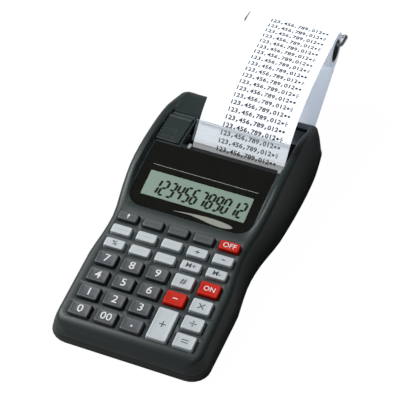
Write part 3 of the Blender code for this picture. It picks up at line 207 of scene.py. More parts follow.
def smoothCurve(points):
    # monotone cubic through the points: tangents are weighted harmonic means of the neighbouring slopes
    px, py = np.array(points, float).T
    step = np.diff(px)
    slope = np.diff(py) / step
    tangent = np.zeros(len(px))
    tangent[0], tangent[-1] = slope[0], slope[-1]
    a, b = 2 * step[1:] + step[:-1], step[1:] + 2 * step[:-1]
    same = slope[:-1] * slope[1:] > 0
    safe = [np.where(same, s, 1.0) for s in (slope[:-1], slope[1:])]
    tangent[1:-1] = np.where(same, (a + b) / (a / safe[0] + b / safe[1]), 0)

    def value(x):
        x = np.asarray(x, float)
        k = np.clip(np.searchsorted(px, x) - 1, 0, len(step) - 1)
        t = np.clip((x - px[k]) / step[k], 0, 1)
        return (py[k] * (1 + 2 * t) * (1 - t) ** 2 + step[k] * tangent[k] * t * (1 - t) ** 2
                + py[k + 1] * t * t * (3 - 2 * t) + step[k] * tangent[k + 1] * t * t * (t - 1))

    return value


caseLength = caseForm["length"]
deckHeight = smoothCurve([(a * caseLength, b * caseForm["deckTop"]) for a, b in caseForm["deck"]])


def deckFrame(y, x=0.0):
    # millimetre frame on the deck: origin on the surface, z along its normal
    slope = float(deckHeight(y + 0.3) - deckHeight(y - 0.3)) / 0.6
    return Matrix.Translation((x, y, float(deckHeight(y)))) @ Matrix.Rotation(math.atan(slope), 4, "X")


def inFrame(points, matrix):
    m = np.array(matrix)
    return np.asarray(points, float) @ m[:3, :3].T + m[:3, 3]


def addPiece(name, points, faces, body, material, replaced=(), sharp=40.0):
    # a mesh from millimetre points, placed in the mesh itself, riding on a body
    world = np.asarray(points, float) * mm
    world[:, 1] += frontEdge
    mesh = bpy.data.meshes.new(name)
    mesh.from_pydata(world, [], faces if isinstance(faces, list) else faces.tolist())
    mesh.update()
    mesh.shade_smooth()
    if sharp:
        mesh.set_sharp_from_angle(angle=math.radians(sharp))
    piece = bpy.data.objects.new(name, mesh)
    bpy.context.scene.collection.objects.link(piece)
    mesh.materials.append(material)
    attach(piece, body)
    if replaced:
        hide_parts(*replaced)
    return piece


def gridFaces(rows, columns, wrap=False):
    # quads of a grid of points stored row by row; wrap joins the last column to the first
    r = np.arange(rows - 1)[:, None]
    c = np.arange(columns if wrap else columns - 1)[None, :]
    n = (c + 1) % columns
    return np.stack([r * columns + c, r * columns + n, (r + 1) * columns + n, (r + 1) * columns + c], -1).reshape(-1, 4)


def closedTube(rings):
    # a stack of closed rings: quads from each to the next, and one n-gon on each end
    rows, columns = rings.shape[:2]
    faces = gridFaces(rows, columns, True).tolist()
    faces.append(list(range(columns))[::-1])
    faces.append(list(range((rows - 1) * columns, rows * columns)))
    return rings.reshape(-1, 3), faces


def roundedRing(width, depth, radius, steps=6):
    # a rectangle with quarter-circle corners, anticlockwise, as (n, 2) points
    turn = np.linspace(0, math.pi / 2, steps)
    corners = []
    for k, (sx, sy) in enumerate(((1, 1), (-1, 1), (-1, -1), (1, -1))):
        t = turn + k * math.pi / 2
        corners.append(np.stack([sx * (width / 2 - radius) + radius * np.cos(t),
                                 sy * (depth / 2 - radius) + radius * np.sin(t)], -1))
    return np.concatenate(corners)


def textMesh(body, size, weight):
    # flat outline letters as points (millimetres, z = 0) and faces, made from Blender's own font
    curve = bpy.data.curves.new("lettering", "FONT")
    curve.body, curve.size, curve.align_x, curve.align_y = body, size, "CENTER", "CENTER"
    curve.offset, curve.resolution_u = weight, 3
    holder = bpy.data.objects.new("lettering", curve)
    bpy.context.scene.collection.objects.link(holder)
    bpy.context.view_layer.update()
    mesh = bpy.data.meshes.new_from_object(holder.evaluated_get(bpy.context.evaluated_depsgraph_get()))
    points = np.zeros(len(mesh.vertices) * 3)
    mesh.vertices.foreach_get("co", points)
    faces = [list(f.vertices) for f in mesh.polygons]
    bpy.data.objects.remove(holder)
    bpy.data.meshes.remove(mesh)
    return points.reshape(-1, 3), faces


def joinShapes(shapes):
    # several shapes' points and faces as one
    points, faces, start = [], [], 0
    for more, moreFaces in shapes:
        points.append(np.asarray(more, float))
        moreFaces = moreFaces if isinstance(moreFaces, list) else moreFaces.tolist()
        faces += [[start + k for k in face] for face in moreFaces]
        start += len(more)
    return np.concatenate(points), faces


# Key caps: name -> column, first row, last row, colour, legend
keyForm = {"width": 12.4, "largeDepth": 9.4, "smallDepth": 6.6, "height": 2.2, "corner": 1.2, "edge": 0.55,
           "draft": 0.3, "dish": 0.2, "smallDish": 0.05, "dishSteps": (0.6, 1.4, 2.4), "skirt": 2.3, "rise": 0.045}
keys = {
    "key_0": (0, 0, 0, "dark", "0"), "key_00": (1, 0, 0, "dark", "00"), "key_point": (2, 0, 0, "dark", "."),
    "key_1": (0, 1, 1, "dark", "1"), "key_2": (1, 1, 1, "dark", "2"), "key_3": (2, 1, 1, "dark", "3"),
    "key_4": (0, 2, 2, "dark", "4"), "key_5": (1, 2, 2, "dark", "5"), "key_6": (2, 2, 2, "dark", "6"),
    "key_7": (0, 3, 3, "dark", "7"), "key_8": (1, 3, 3, "dark", "8"), "key_9": (2, 3, 3, "dark", "9"),
    "key_plus": (3, 0, 1, "light", "+"), "key_minus": (3, 2, 2, "red", "-"), "key_hash": (3, 3, 3, "light", "#"),
    "key_equals": (4, 0, 0, "light", "="), "key_divide": (4, 1, 1, "light", "/"), "key_times": (4, 2, 2, "light", "x"),
    "key_on_clear": (4, 3, 3, "red", "ON"), "key_percent": (0, 4, 4, "light", "%"),
    "key_markup": (1, 4, 4, "light", ""), "key_memory_clear": (2, 4, 4, "light", ""),
    "key_memory_plus": (3, 4, 4, "light", "M+"), "key_memory_minus": (4, 4, 4, "light", "M-"),
    "key_currency": (0, 5, 5, "light", ""), "key_local": (1, 5, 5, "light", ""), "key_rate": (2, 5, 5, "light", ""),
    "key_tax_plus": (3, 5, 5, "light", "+"), "key_tax_minus": (4, 5, 5, "light", "-"),
    "key_shift": (0, 6, 6, "dark", ">"), "key_decimals": (1, 6, 6, "dark", ""), "key_function": (2, 6, 6, "dark", ""),
    "key_print": (3, 6, 6, "dark", ""), "key_off": (4, 6, 6, "red", "OFF"),
}


def strokeMark(bars, thick):
    # bars as (x0, y0, x1, y1) strokes of one thickness, each a flat quad
    bars = np.array(bars, float)
    along = bars[:, 2:] - bars[:, :2]
    side = np.stack([-along[:, 1], along[:, 0]], -1)
    side *= thick / 2 / np.linalg.norm(side, axis=1)[:, None]
    corners = np.stack([bars[:, :2] - side, bars[:, 2:] - side, bars[:, 2:] + side, bars[:, :2] + side], 1)
    points = np.concatenate([corners.reshape(-1, 2), np.zeros((len(bars) * 4, 1))], 1)
    return points, np.arange(len(bars) * 4).reshape(-1, 4)


def discMark(x, y, radius):
    t = np.linspace(0, math.tau, 24, endpoint=False)
    return np.stack([x + radius * np.cos(t), y + radius * np.sin(t), 0 * t], -1), [list(range(24))]


def keyLegend(text, large):
    # signs are strokes and discs, digits and words come from the font; sizes are millimetres
    r = 2.0 if large else 1.25
    if text == "+":
        return strokeMark([(-r, 0, r, 0), (0, -r, 0, -0.3), (0, 0.3, 0, r)], 0.6)
    if text == "-":
        return strokeMark([(-r * 0.7, 0, r * 0.7, 0)], 0.65)
    if text == "=":
        return strokeMark([(-2.0, 0.8, 2.0, 0.8), (-2.0, -0.8, 2.0, -0.8)], 0.6)
    if text == "x":
        return strokeMark([(-1.7, -1.7, 1.7, 1.7), (-1.7, 1.7, -0.21, 0.21), (0.21, -0.21, 1.7, -1.7)], 0.6)
    if text == "/":
        return joinShapes([strokeMark([(-2.0, 0, 2.0, 0)], 0.6), discMark(0, 1.35, 0.5), discMark(0, -1.35, 0.5)])
    if text == ".":
        return discMark(0, -0.8, 0.62)
    if text == ">":
        head = np.array([(-1.0, 0.1, 0), (1.0, 0.1, 0), (0, 1.7, 0)])
        return joinShapes([strokeMark([(0, -1.5, 0, 0.1)], 0.6), (head, [[0, 1, 2]])])
    size = {"00": 6.8, "ON": 4.4, "OFF": 4.6, "%": 4.8, "#": 6.0}.get(text, 7.2 if large else 4.6)
    return textMesh(text, size, 0.006 * size)


def buildKeys():
    # cap: rounded-rectangle rings carried up a profile (skirt, draft, quarter-round edge) to a dished top
    f = keyForm
    turn = np.linspace(0, math.pi / 2, 5)
    for name, (column, first, last, tone, text) in keys.items():
        large = last < 4
        depth = (f["largeDepth"] if large else f["smallDepth"]) + keyRows[last] - keyRows[first]
        place = deckFrame((keyRows[first] + keyRows[last]) / 2, (column - 2) * columnPitch)
        levels = [(0.0, -f["skirt"]), (0.0, 0.0)]
        levels += [(-f["draft"] - f["edge"] * (1 - math.cos(t)), f["height"] - f["edge"] * (1 - math.sin(t)))
                   for t in turn]
        dish, across = f["dish"] if large else f["smallDish"], f["dishSteps"][-1]
        levels += [(-f["draft"] - f["edge"] - inset, f["height"] - dish * (1 - (1 - inset / across) ** 2))
                   for inset in f["dishSteps"]]
        rings = []
        for grow, z in levels:
            ring = roundedRing(f["width"] + 2 * grow, depth + 2 * grow, max(f["corner"] + grow / 2, 0.35), 6)
            rings.append(np.concatenate([ring, np.full((len(ring), 1), z)], 1))
        points, faces = closedTube(np.array(rings))
        addPiece(f"cap_{name}", inFrame(points, place), faces, name, looks[f"{tone}Key"], (name,))
        if text:
            marks, markFaces = keyLegend(text, large)
            marks = np.array(marks)
            marks[:, 2] = f["height"] - dish + f["rise"]
            ink = looks["greyInk" if tone == "light" else "whiteInk"]
            addPiece(f"legend_{name}", inFrame(marks, place), markFaces, name, ink, sharp=None)


buildKeys()
print("stage: keys built")

# Display: twelve slanted seven-segment digits in the window, a foil line and a painted reflection on the panel
displayForm = {"middle": 90.035 + 7.8 + 8.9, "depth": 0.36, "digits": "123456789012", "pitch": 4.81,
               "digitWidth": 3.0, "digitHeight": 10.0, "slant": 0.13, "stroke": 1.45, "segmentGap": 0.12,
               "left": -26.2, "base": -1.2,
               "lineAt": 119.6, "lineSpan": (-32.4, 33.0), "lineWidth": 0.34, "lift": 0.03,
               "paintedGlintHigh": ((-9, 92.8), (0, 94.0), (13, 94.9), (22, 94.3), (26, 93.5), (27.4, 92.7)),
               "paintedGlintLow": ((-9, 92.7), (0, 93.1), (6.7, 92.4), (14.8, 91.1), (20, 90.7), (25.6, 91.4), (27.4, 92.5))}
segmentSets = {"0": "abcdef", "1": "bc", "2": "abged", "3": "abgcd", "4": "fgbc", "5": "afgcd", "6": "afgedc",
               "7": "abc", "8": "abcdefg", "9": "abcdfg"}


def segmentShapes():
    # each segment is a hexagon along one side of a figure eight, a little shorter than its side
    w, h, s = displayForm["digitWidth"], displayForm["digitHeight"], displayForm["stroke"]
    ends = {"a": (0, h, w, h), "d": (0, 0, w, 0), "g": (0, h / 2, w, h / 2), "b": (w, h / 2, w, h),
            "c": (w, 0, w, h / 2), "f": (0, h / 2, 0, h), "e": (0, 0, 0, h / 2)}
    shapes = {}
    for key, (x0, y0, x1, y1) in ends.items():
        p, q = np.array([x0, y0], float), np.array([x1, y1], float)
        u = (q - p) / np.linalg.norm(q - p)
        n = np.array([-u[1], u[0]]) * s / 2
        p, q = p + u * displayForm["segmentGap"], q - u * displayForm["segmentGap"]
        shapes[key] = np.array([p, p + u * s / 2 - n, q - u * s / 2 - n, q, q - u * s / 2 + n, p + u * s / 2 + n])
    return shapes


def onDeck(x, y, lift):
    # points on the deck's surface, a hair above it
    return np.stack([x, y, deckHeight(y) + lift], -1)


def buildDisplay():
    f = displayForm
    place = deckFrame(f["middle"])
    shapes = segmentShapes()
    parts = []
    for k, digit in enumerate(f["digits"]):
        for key in segmentSets[digit]:
            hexagon = shapes[key] + (f["left"] + k * f["pitch"], f["base"] - f["digitHeight"] / 2)
            hexagon = hexagon + np.stack([hexagon[:, 1] * f["slant"], 0 * hexagon[:, 1]], -1)
            parts.append((np.concatenate([hexagon, np.full((6, 1), -f["depth"])], 1), [list(range(6))]))
    points, faces = joinShapes(parts)
    addPiece("lcd_digits", inFrame(points, place), faces, "case", looks["segment"], sharp=None)
    # on the panel: a thin foil line behind the window and, in front of it, a lens-shaped pale mark that is a painted
    # reflection
    def strip(x, low, high, rows):
        y = low + (high - low) * np.linspace(0, 1, rows)[:, None]
        return onDeck(np.repeat(x[None, :], rows, 0).ravel(), y.ravel(), f["lift"]), gridFaces(rows, len(x))
    x = np.linspace(*f["lineSpan"], 60)
    line = strip(x, 0 * x + f["lineAt"] - f["lineWidth"] / 2, 0 * x + f["lineAt"] + f["lineWidth"] / 2, 2)
    # the lens-shaped mark: a painted reflection on the panel's lower lip, in the foil's colour
    x = np.linspace(f["paintedGlintHigh"][0][0], f["paintedGlintHigh"][-1][0], 60)
    points, faces = joinShapes([line, strip(x, smoothCurve(f["paintedGlintLow"])(x), smoothCurve(f["paintedGlintHigh"])(x), 10)])
    addPiece("panel_foil_and_painted_glint", points, faces, "case", looks["foil"], sharp=None)


buildDisplay()
print("stage: display built")

# Paper: the web's path in (y, z), repeated from the frame's own sizes, with the printed lines on it
paperForm = {"left": -17.5, "right": 39.5, "thickness": 0.25, "feed": (145.535, 23.8), "touch": 5.5, "lean": 45.0,
             "meetAngle": 215.0, "aroundCount": 24, "straight": 15.7, "archShares": (0.26, 0.46),
             "roll": (236.535, 47.0), "rollOut": 11.5, "wrap": 28.0,
             "lines": 22, "linePitch": 4.9, "firstLine": 0.1, "textSize": 4.15, "textLeft": -2.5, "textPitch": 2.24,
             "textWeight": 0.13, "textStretch": (1.02, 0.92), "inkLift": 0.03}


def bezier(points, count):
    t = np.linspace(0, 1, count)[:, None]
    p = np.array(points, float)
    return p[0] * (1 - t) ** 3 + 3 * p[1] * t * (1 - t) ** 2 + 3 * p[2] * t * t * (1 - t) + p[3] * t ** 3


def printedPath():
    # from the feed roller's back, round it, straight past the tear bar, and over in one curve to the roll's top
    f = paperForm
    lean = math.radians(f["lean"])
    turn = np.linspace(math.radians(f["meetAngle"]), math.pi / 2 + lean, f["aroundCount"])[:, None]
    feed, roll = np.array(f["feed"]), np.array(f["roll"])
    around = feed + f["touch"] * np.concatenate([np.cos(turn), np.sin(turn)], 1)
    go = np.array([math.cos(lean), math.sin(lean)])
    bend = around[-1] + go * f["straight"]
    over = roll + (0, f["rollOut"])
    span = over[0] - bend[0]
    rise, fall = f["archShares"]
    arch = bezier([bend, bend + go * span * rise, over - (span * fall, 0), over], 60)
    end = np.linspace(math.pi / 2, math.radians(f["wrap"]), 20)[1:, None]
    last = roll + f["rollOut"] * np.concatenate([np.cos(end), np.sin(end)], 1)
    return np.concatenate([around[:-1], np.linspace(around[-1], bend, 10)[:-1], arch, last])


def alongPath(path, s):
    # point and upward normal at distances s along the path
    step = np.linalg.norm(np.diff(path, axis=0), axis=1)
    length = np.concatenate([[0], np.cumsum(step)])
    y, z = np.interp(s, length, path[:, 0]), np.interp(s, length, path[:, 1])
    dy, dz = np.interp(s + 0.3, length, path[:, 0]) - y, np.interp(s + 0.3, length, path[:, 1]) - z
    size = np.hypot(dy, dz) + 1e-9
    return y, z, -dz / size, dy / size


def buildPrint():
    f = paperForm
    path = printedPath()
    step = np.linalg.norm(np.diff(path, axis=0), axis=1)
    start = step[:f["aroundCount"] - 1].sum()  # where the paper leaves the feed roller
    wide, tall = f["textStretch"]
    lift = f["thickness"] / 2 + f["inkLift"]
    parts = []
    shapes = {sign: textMesh(sign, f["textSize"], f["textWeight"]) for sign in "0123456789"}
    # a comma is a disc with a short tail, the other signs are discs and strokes
    shapes[","] = joinShapes([discMark(0, -0.7, 0.5), strokeMark([(0.2, -0.8, -0.45, -1.75)], 0.5)])
    shapes["•"] = discMark(0, 0, 0.8)
    shapes["÷"] = joinShapes([strokeMark([(-1.0, 0, 1.0, 0)], 0.5), discMark(0, 1.1, 0.45), discMark(0, -1.1, 0.45)])
    for k in range(f["lines"]):
        for cell, sign in enumerate("123,456,789,012•" + ("•" if k % 2 else "÷")):
            points, faces = shapes[sign]
            s = start + f["firstLine"] + k * f["linePitch"] + points[:, 1] * tall
            y, z, ny, nz = alongPath(path, s)
            x = f["textLeft"] + cell * f["textPitch"] + points[:, 0] * wide
            parts.append((np.stack([x, y + ny * lift, z + nz * lift], -1), faces))
    points, faces = joinShapes(parts)
    addPiece("printed_lines", points, faces, "case", looks["paperInk"], sharp=None)


buildPrint()
print("stage: paper printed")


def turnedRings(profile, count=40):
    # (along, radius) points swept about a straight axis: rings of (along, radius cos t, radius sin t)
    t = np.linspace(0, math.tau, count, endpoint=False)
    p = np.array(profile, float)
    return np.stack([np.repeat(p[:, :1], count, 1), p[:, 1:] * np.cos(t), p[:, 1:] * np.sin(t)], -1)


def alongX(rings, y, z):
    # turned rings moved to an axis along x at (y, z)
    return rings + (0, y, z)


def ringTube(rings):
    # a closed tube whose last ring joins its first one, for parts with a bore
    points, faces = closedTube(rings)
    rows, columns = rings.shape[:2]
    c = np.arange(columns)
    last = (rows - 1) * columns
    closing = np.stack([last + c, last + (c + 1) % columns, (c + 1) % columns, c], -1)
    return points, faces[:-2] + closing.tolist()


def sweptTube(path, radius, sides=20):
    # a round wire: rings square to the path, turned from one to the next without twist
    path = np.asarray(path, float)
    ahead = np.gradient(path, axis=0)
    ahead /= np.linalg.norm(ahead, axis=1)[:, None]
    across = np.zeros_like(ahead)
    first = np.cross(ahead[0], (0, 0, 1.0))
    across[0] = first / np.linalg.norm(first)
    for k in range(1, len(path)):
        step = across[k - 1] - ahead[k] * (across[k - 1] @ ahead[k])
        across[k] = step / np.linalg.norm(step)
    other = np.cross(ahead, across)
    t = np.linspace(0, math.tau, sides, endpoint=False)[None, :, None]
    rings = path[:, None, :] + radius * (np.cos(t) * across[:, None, :] + np.sin(t) * other[:, None, :])
    return closedTube(rings)


# Roll holder: socket, leg, bend, bar through the core and back again, all one wire
wireForm = {"radius": 1.1, "legs": (-3.0, 25.0), "ends": (-20.3, 42.3), "level": 3.5, "start": 192.835,
            "out": 207.235, "behind": 249.635, "rise": 36.0, "sweep": 3.2, "drop": 2.0, "barY": 236.535,
            "barZ": 51.85, "bend": 4.0, "endBend": 2.52}


def buildWire():
    # straight runs between corners, each corner rounded by a curve that starts and ends one bend away
    f = wireForm
    corners = []
    for leg, end in zip(f["legs"], f["ends"]):
        run = [(leg, f["start"], f["level"]), (leg, f["out"], f["level"]), (leg, f["behind"] + f["sweep"], f["rise"]),
               (end, f["behind"], f["barZ"] - f["drop"]), (end, f["barY"], f["barZ"])]
        corners += run if leg < 0 else run[::-1]
    bends = [f["bend"]] * 3 + [f["endBend"]] * 2 + [f["bend"]] * 3
    corners = np.array(corners)
    path = [corners[:1]]
    t = np.linspace(0, 1, 14)[:, None]
    for k, bend in enumerate(bends):
        before, corner, after = corners[k:k + 3]
        enter = corner + (before - corner) / np.linalg.norm(before - corner) * bend
        leave = corner + (after - corner) / np.linalg.norm(after - corner) * bend
        path.append(enter * (1 - t) ** 2 + corner * 2 * t * (1 - t) + leave * t * t)
    path.append(corners[-1:])
    points, faces = sweptTube(np.concatenate(path), f["radius"])
    addPiece("holder_wire", points, faces, "case", looks["chrome"], ("roll_holder",))


buildWire()
print("stage: wire built")


# Paper roll: wound paper on a board core, its ends stepped by the winding
rollForm = {"x0": -17.5, "x1": 39.5, "outer": 11.0, "core": 6.25, "card": 1.1, "step": 0.12, "turns": 16,
            "edge": 0.15, "coreEdge": 0.2}


def buildRoll():
    f = rollForm
    y, z = paperForm["roll"]
    # end faces: radius runs inwards over the layers and the ends waver a little from layer to layer
    r = np.linspace(f["outer"] - f["edge"], f["core"] + f["card"], f["turns"] * 2)
    waver = f["step"] * (0.5 + 0.5 * np.sin(r * 9.1) * np.sin(r * 2.3))
    right = [(f["x1"] - w, q) for w, q in zip(waver, r)]
    left = [(f["x0"] + w, q) for w, q in zip(waver[::-1], r[::-1])]
    inner = f["core"] + f["card"] - 0.02
    rim = [(f["x0"] + f["edge"], f["outer"]), (f["x1"] - f["edge"], f["outer"])]
    profile = rim + right + [(f["x1"] - 0.5, inner), (f["x0"] + 0.5, inner)] + left
    points, faces = ringTube(alongX(turnedRings(profile, 64), y, z))
    addPiece("roll_paper", points, faces, "paper_roll", looks["paper"], ("paper_roll",))
    e = f["coreEdge"]
    core = [(f["x0"] + 0.3, inner - 0.02), (f["x1"] - 0.3, inner - 0.02), (f["x1"], inner - 0.3),
            (f["x1"], f["core"] + e), (f["x1"] - e, f["core"]), (f["x0"] + e, f["core"]), (f["x0"], f["core"] + e),
            (f["x0"], inner - 0.3)]
    points, faces = ringTube(alongX(turnedRings(core, 48), y, z))
    addPiece("roll_core", points, faces, "paper_roll", looks["card"])


buildRoll()
print("stage: roll built")


# Paper web in one sheet: up from the slot, level under the printer, round the feed roller and over the roll
webForm = {"bayBack": 187.535, "slotRise": 10.5, "feedLevel": 6.8, "wall": 2.0, "rim": 12.5, "gap": 0.5,
           "pull": 11.0, "liftOff": 10.0, "columns": 12}


def supplyPath():
    # from the roll's back straight down to the slot, in under the printer, and up to the feed roller
    f, g = webForm, paperForm
    roll, feed = np.array(g["roll"]), np.array(g["feed"])
    out = rollForm["outer"] + f["gap"]
    back = np.array([caseLength - f["wall"] / 2, f["slotRise"]])
    away = np.linalg.norm(roll - back)
    dip = math.atan2(roll[1] - back[1], roll[0] - back[0]) - math.asin(out / away)
    reach = math.sqrt(away ** 2 - out ** 2)
    go = np.array([math.cos(dip), math.sin(dip)])
    down = back + go * np.linspace(reach, 0, 24)[:, None]
    t = np.linspace(0, 1, 24)[1:]
    y = back[0] + (f["bayBack"] - f["rim"] - back[0]) * t
    z = back[1] + (f["feedLevel"] - back[1]) * t * t * (3 - 2 * t) + math.tan(dip) * (y - back[0]) * (1 - t) ** 2
    turn = math.radians(g["meetAngle"])
    first = feed + g["touch"] * np.array([math.cos(turn), math.sin(turn)])
    meet = first + f["pull"] * np.array([-math.sin(turn), math.cos(turn)])
    low = np.array([feed[0] + f["liftOff"], f["feedLevel"]])
    level = np.stack([np.linspace(y[-1], low[0], 6)[1:-1], np.full(4, f["feedLevel"])], -1)
    rise = bezier([low, low - (f["pull"], 0), meet, first], 24)[:-1]
    return np.concatenate([down, np.stack([y, z], -1), level, rise])


def buildWeb():
    # the middle line thickened to both sides along its normal, as one closed sheet
    f = paperForm
    path = np.concatenate([supplyPath(), printedPath()])
    ahead = np.gradient(path, axis=0)
    ahead /= np.linalg.norm(ahead, axis=1)[:, None]
    side = np.stack([-ahead[:, 1], ahead[:, 0]], -1) * f["thickness"] / 2
    columns = webForm["columns"]
    x = np.repeat(np.linspace(f["left"], f["right"], columns)[None, :], len(path), 0)
    sheets = []
    for sign in (1, -1):
        line = path + sign * side
        sheets.append(np.stack([x, np.repeat(line[:, :1], columns, 1), np.repeat(line[:, 1:], columns, 1)], -1))
    n = len(path) * columns
    index = np.arange(n).reshape(len(path), columns)
    grid = gridFaces(len(path), columns)
    rim = np.concatenate([index[:, 0][::-1], index[0, 1:], index[1:, -1], index[-1, :-1][::-1][:-1]])
    ring = np.stack([rim, np.roll(rim, -1), np.roll(rim, -1) + n, rim + n], -1)
    faces = np.concatenate([grid, grid[:, ::-1] + n, ring[:, ::-1]])
    points = np.concatenate([sheets[0].reshape(-1, 3), sheets[1].reshape(-1, 3)])
    web = addPiece("paper_web", points, faces, "case", looks["paper"], ("paper_strip",))
    web.data.materials.append(looks["paperInside"])
    # faces of the web that lie inside the case take the darker paper, painted shade
    middle = points[faces].mean(1)
    inside = (middle[:, 1] < caseLength - 1) & (middle[:, 2] < deckHeight(middle[:, 1]))
    web.data.polygons.foreach_set("material_index", inside.astype(np.int32))


buildWeb()
print("stage: paper built")


# Tear bar: a clear leaning plate on two feet, its upper edge cut into fine teeth
barForm = {"x0": -18.5, "x1": 39.7, "low": (144.79, 32.99), "rise": 12.7, "lean": 45.0, "thick": 1.0, "teeth": 46,
           "toothDepth": 0.4, "edgeBand": 0.35, "edgeShare": 0.2, "footFront": 137.2, "footDepth": 3.4,
           "footWidth": 1.8, "footCorner": 0.3, "footSink": 0.5, "footRows": (0, 0.8, 1.0)}


def buildTearBar():
    f = barForm
    lean = math.radians(f["lean"])
    go, up = np.array([math.cos(lean), math.sin(lean)]), np.array([-math.sin(lean), math.cos(lean)])
    low = np.array(f["low"])
    count = f["teeth"] * 2 + 1
    x = np.linspace(f["x0"], f["x1"], count)
    tooth = f["toothDepth"] * (np.arange(count) % 2)

    def row(offset, height):
        # one row of points along the plate, at a height up it and an offset square to it
        return np.stack([x, low[0] + go[0] * height + up[0] * offset, low[1] + go[1] * height + up[1] * offset], -1)

    half = f["thick"] / 2
    body = f["rise"] - f["edgeBand"] - f["toothDepth"]
    for name, start, end, look in (("tear_plate", 0 * x, 0 * x + body, "clear"),
                                   ("tear_edge", 0 * x + body, f["rise"] - tooth, "clearEdge")):
        top = half if name == "tear_plate" else -half * f["edgeShare"]
        rings = np.array([row(-half, end), row(top, end), row(half, start), row(-half, start)]).transpose(1, 0, 2)
        points, faces = closedTube(rings)
        replaced = ("tear_bar",) if name == "tear_plate" else ()
        addPiece(name, points, faces, "case", looks[look], replaced, sharp=25)
    feet = []
    for x0 in (f["x0"], f["x1"] - f["footWidth"]):
        ring = roundedRing(f["footWidth"], f["footDepth"], f["footCorner"], 3)
        z = low[1] - f["footSink"]
        middle = (x0 + f["footWidth"] / 2, f["footFront"] + f["footDepth"] / 2)
        rows = [np.concatenate([ring + middle, np.full((len(ring), 1), z + h)], 1) for h in f["footRows"]]
        feet.append(closedTube(np.array(rows)))
    points, faces = joinShapes(feet)
    addPiece("tear_feet", points, faces, "case", looks["clearEdge"], sharp=25)


buildTearBar()
print("stage: tear bar built")


# Ink-roller lid: a plate that follows the deck, grooved in front and ridged behind, on its hinge barrel
lidForm = {"left": -39.4, "right": -24.6, "front": 138.64, "back": 164.83, "over": 0.9, "under": 1.5, "edge": 0.5,
           "grooves": 5, "firstGroove": 140.6, "groovePitch": 2.15, "grooveDepth": 0.45, "grooveWidth": 0.75,
           "grooveLeft": -38.3, "grooveRight": -29.8, "grooveFade": 0.4, "ridgeAt": 161.0, "ridgeRise": 0.5,
           "ridgeWidth": 1.1, "tailAt": 161.8, "tailDrop": 0.15, "rowStep": 0.15,
           "hinge": (165.485, 29.16), "barrel": 1.3, "pin": 0.6, "pinOut": 0.9}


def buildLid():
    # rings across the lid at each y: a rounded rectangle whose upper side carries grooves and ridge
    f = lidForm
    r, w = f["edge"], f["right"] - f["left"]
    across = np.linspace(0, 1, 80)
    turn = np.linspace(0, math.pi / 2, 5)[1:-1]
    y = np.concatenate([[f["front"]], f["front"] + r * (1 - np.cos(turn)),
                        np.arange(f["front"] + r, f["back"] - r, f["rowStep"]),
                        f["back"] - r * (1 - np.cos(turn[::-1])), [f["back"]]])
    ends = np.minimum(y - f["front"], f["back"] - y)
    inset = r - np.sqrt(np.clip(r * r - np.clip(r - ends, 0, r) ** 2, 0, None))
    topX = f["right"] - r - across * (w - 2 * r)
    groove = np.zeros((len(y), len(topX)))
    for k in range(f["grooves"]):
        fall = np.clip(1 - np.abs(y - f["firstGroove"] - k * f["groovePitch"]) / (f["grooveWidth"] / 2), 0, 1)
        side = np.clip(np.minimum(topX - f["grooveLeft"], f["grooveRight"] - topX) / f["grooveFade"], 0, 1)
        groove += np.sqrt(fall)[:, None] * side[None, :] * f["grooveDepth"]
    base = deckHeight(y)
    fall = np.clip((y - f["tailAt"]) / (f["back"] - f["tailAt"]), 0, 1)
    fall = fall * fall * (3 - 2 * fall)
    top = base + f["over"] + f["ridgeRise"] * np.exp(-((y - f["ridgeAt"]) / f["ridgeWidth"]) ** 2)
    top = top * (1 - fall) + (f["hinge"][1] + f["barrel"] - f["tailDrop"]) * fall
    upper = np.stack([np.repeat(topX[None, :], len(y), 0), top[:, None] - groove], -1)

    def arc(cx, height, start):
        t = start + turn
        return np.stack([cx + r * np.cos(t)[None, :] + 0 * height[:, None],
                         height[:, None] + r * np.sin(t)[None, :]], -1)

    hi, lo = top - r, base - f["under"] + r
    lower = np.stack([np.repeat(topX[None, ::-1], len(y), 0),
                      np.repeat((base - f["under"])[:, None], len(topX), 1)], -1)
    ring = np.concatenate([arc(f["right"] - r, hi, 0), upper, arc(f["left"] + r, hi, math.pi / 2),
                           arc(f["left"] + r, lo, math.pi), lower, arc(f["right"] - r, lo, 1.5 * math.pi)], 1)
    # the first and last rings draw in towards their middle, which rounds the front and back edges
    middle = np.stack([0 * y + (f["left"] + f["right"]) / 2, (top + base - f["under"]) / 2], -1)[:, None, :]
    away = ring - middle
    reach = np.maximum(np.abs(away[..., 0]) / (w / 2), np.abs(away[..., 1]) / ((f["over"] + f["under"]) / 2))
    size = np.maximum(np.linalg.norm(away, axis=2), 1e-6)[..., None]
    ring = ring - inset[:, None, None] * away / size * np.clip(reach, 0, 1)[..., None]
    rings = np.stack([ring[..., 0], np.repeat(y[:, None], ring.shape[1], 1), ring[..., 1]], -1)
    plate = closedTube(rings[:, ::-1])
    x0, x1 = f["left"], f["right"]
    profile = [(x0 - f["pinOut"], f["pin"]), (x0, f["pin"]), (x0, f["barrel"]),
               (x1, f["barrel"]), (x1, f["pin"]), (x1 + f["pinOut"], f["pin"])]
    barrel = closedTube(alongX(turnedRings(profile, 28), *f["hinge"]))
    points, faces = joinShapes([plate, barrel])
    addPiece("cover_lid", points, faces, "ink_roller_cover", looks["case"], ("ink_roller_cover",),
             sharp=30)


buildLid()
print("stage: lid built")


# Thin black strip on the deck between the display panel and the paper, in the printer's black plastic: painted shade
# for the dark band there
shadeStripForm = {"left": -23.0, "right": 39.9, "front": 136.9, "back": 140.0, "rise": 0.22, "steps": 12}


def buildShadeStrip():
    # a thin slab on the deck: one four-cornered ring at each y
    f = shadeStripForm
    y = np.linspace(f["front"], f["back"], f["steps"])
    corners = ((f["left"], 0.0), (f["left"], f["rise"]), (f["right"], f["rise"]), (f["right"], 0.0))
    rings = [[(x, q, float(deckHeight(q)) + h) for x, h in corners] for q in y]
    points, faces = closedTube(np.array(rings))
    addPiece("printer_shade_strip", points, faces, "case", looks["printer"], sharp=30)


buildShadeStrip()
print("stage: lip built")


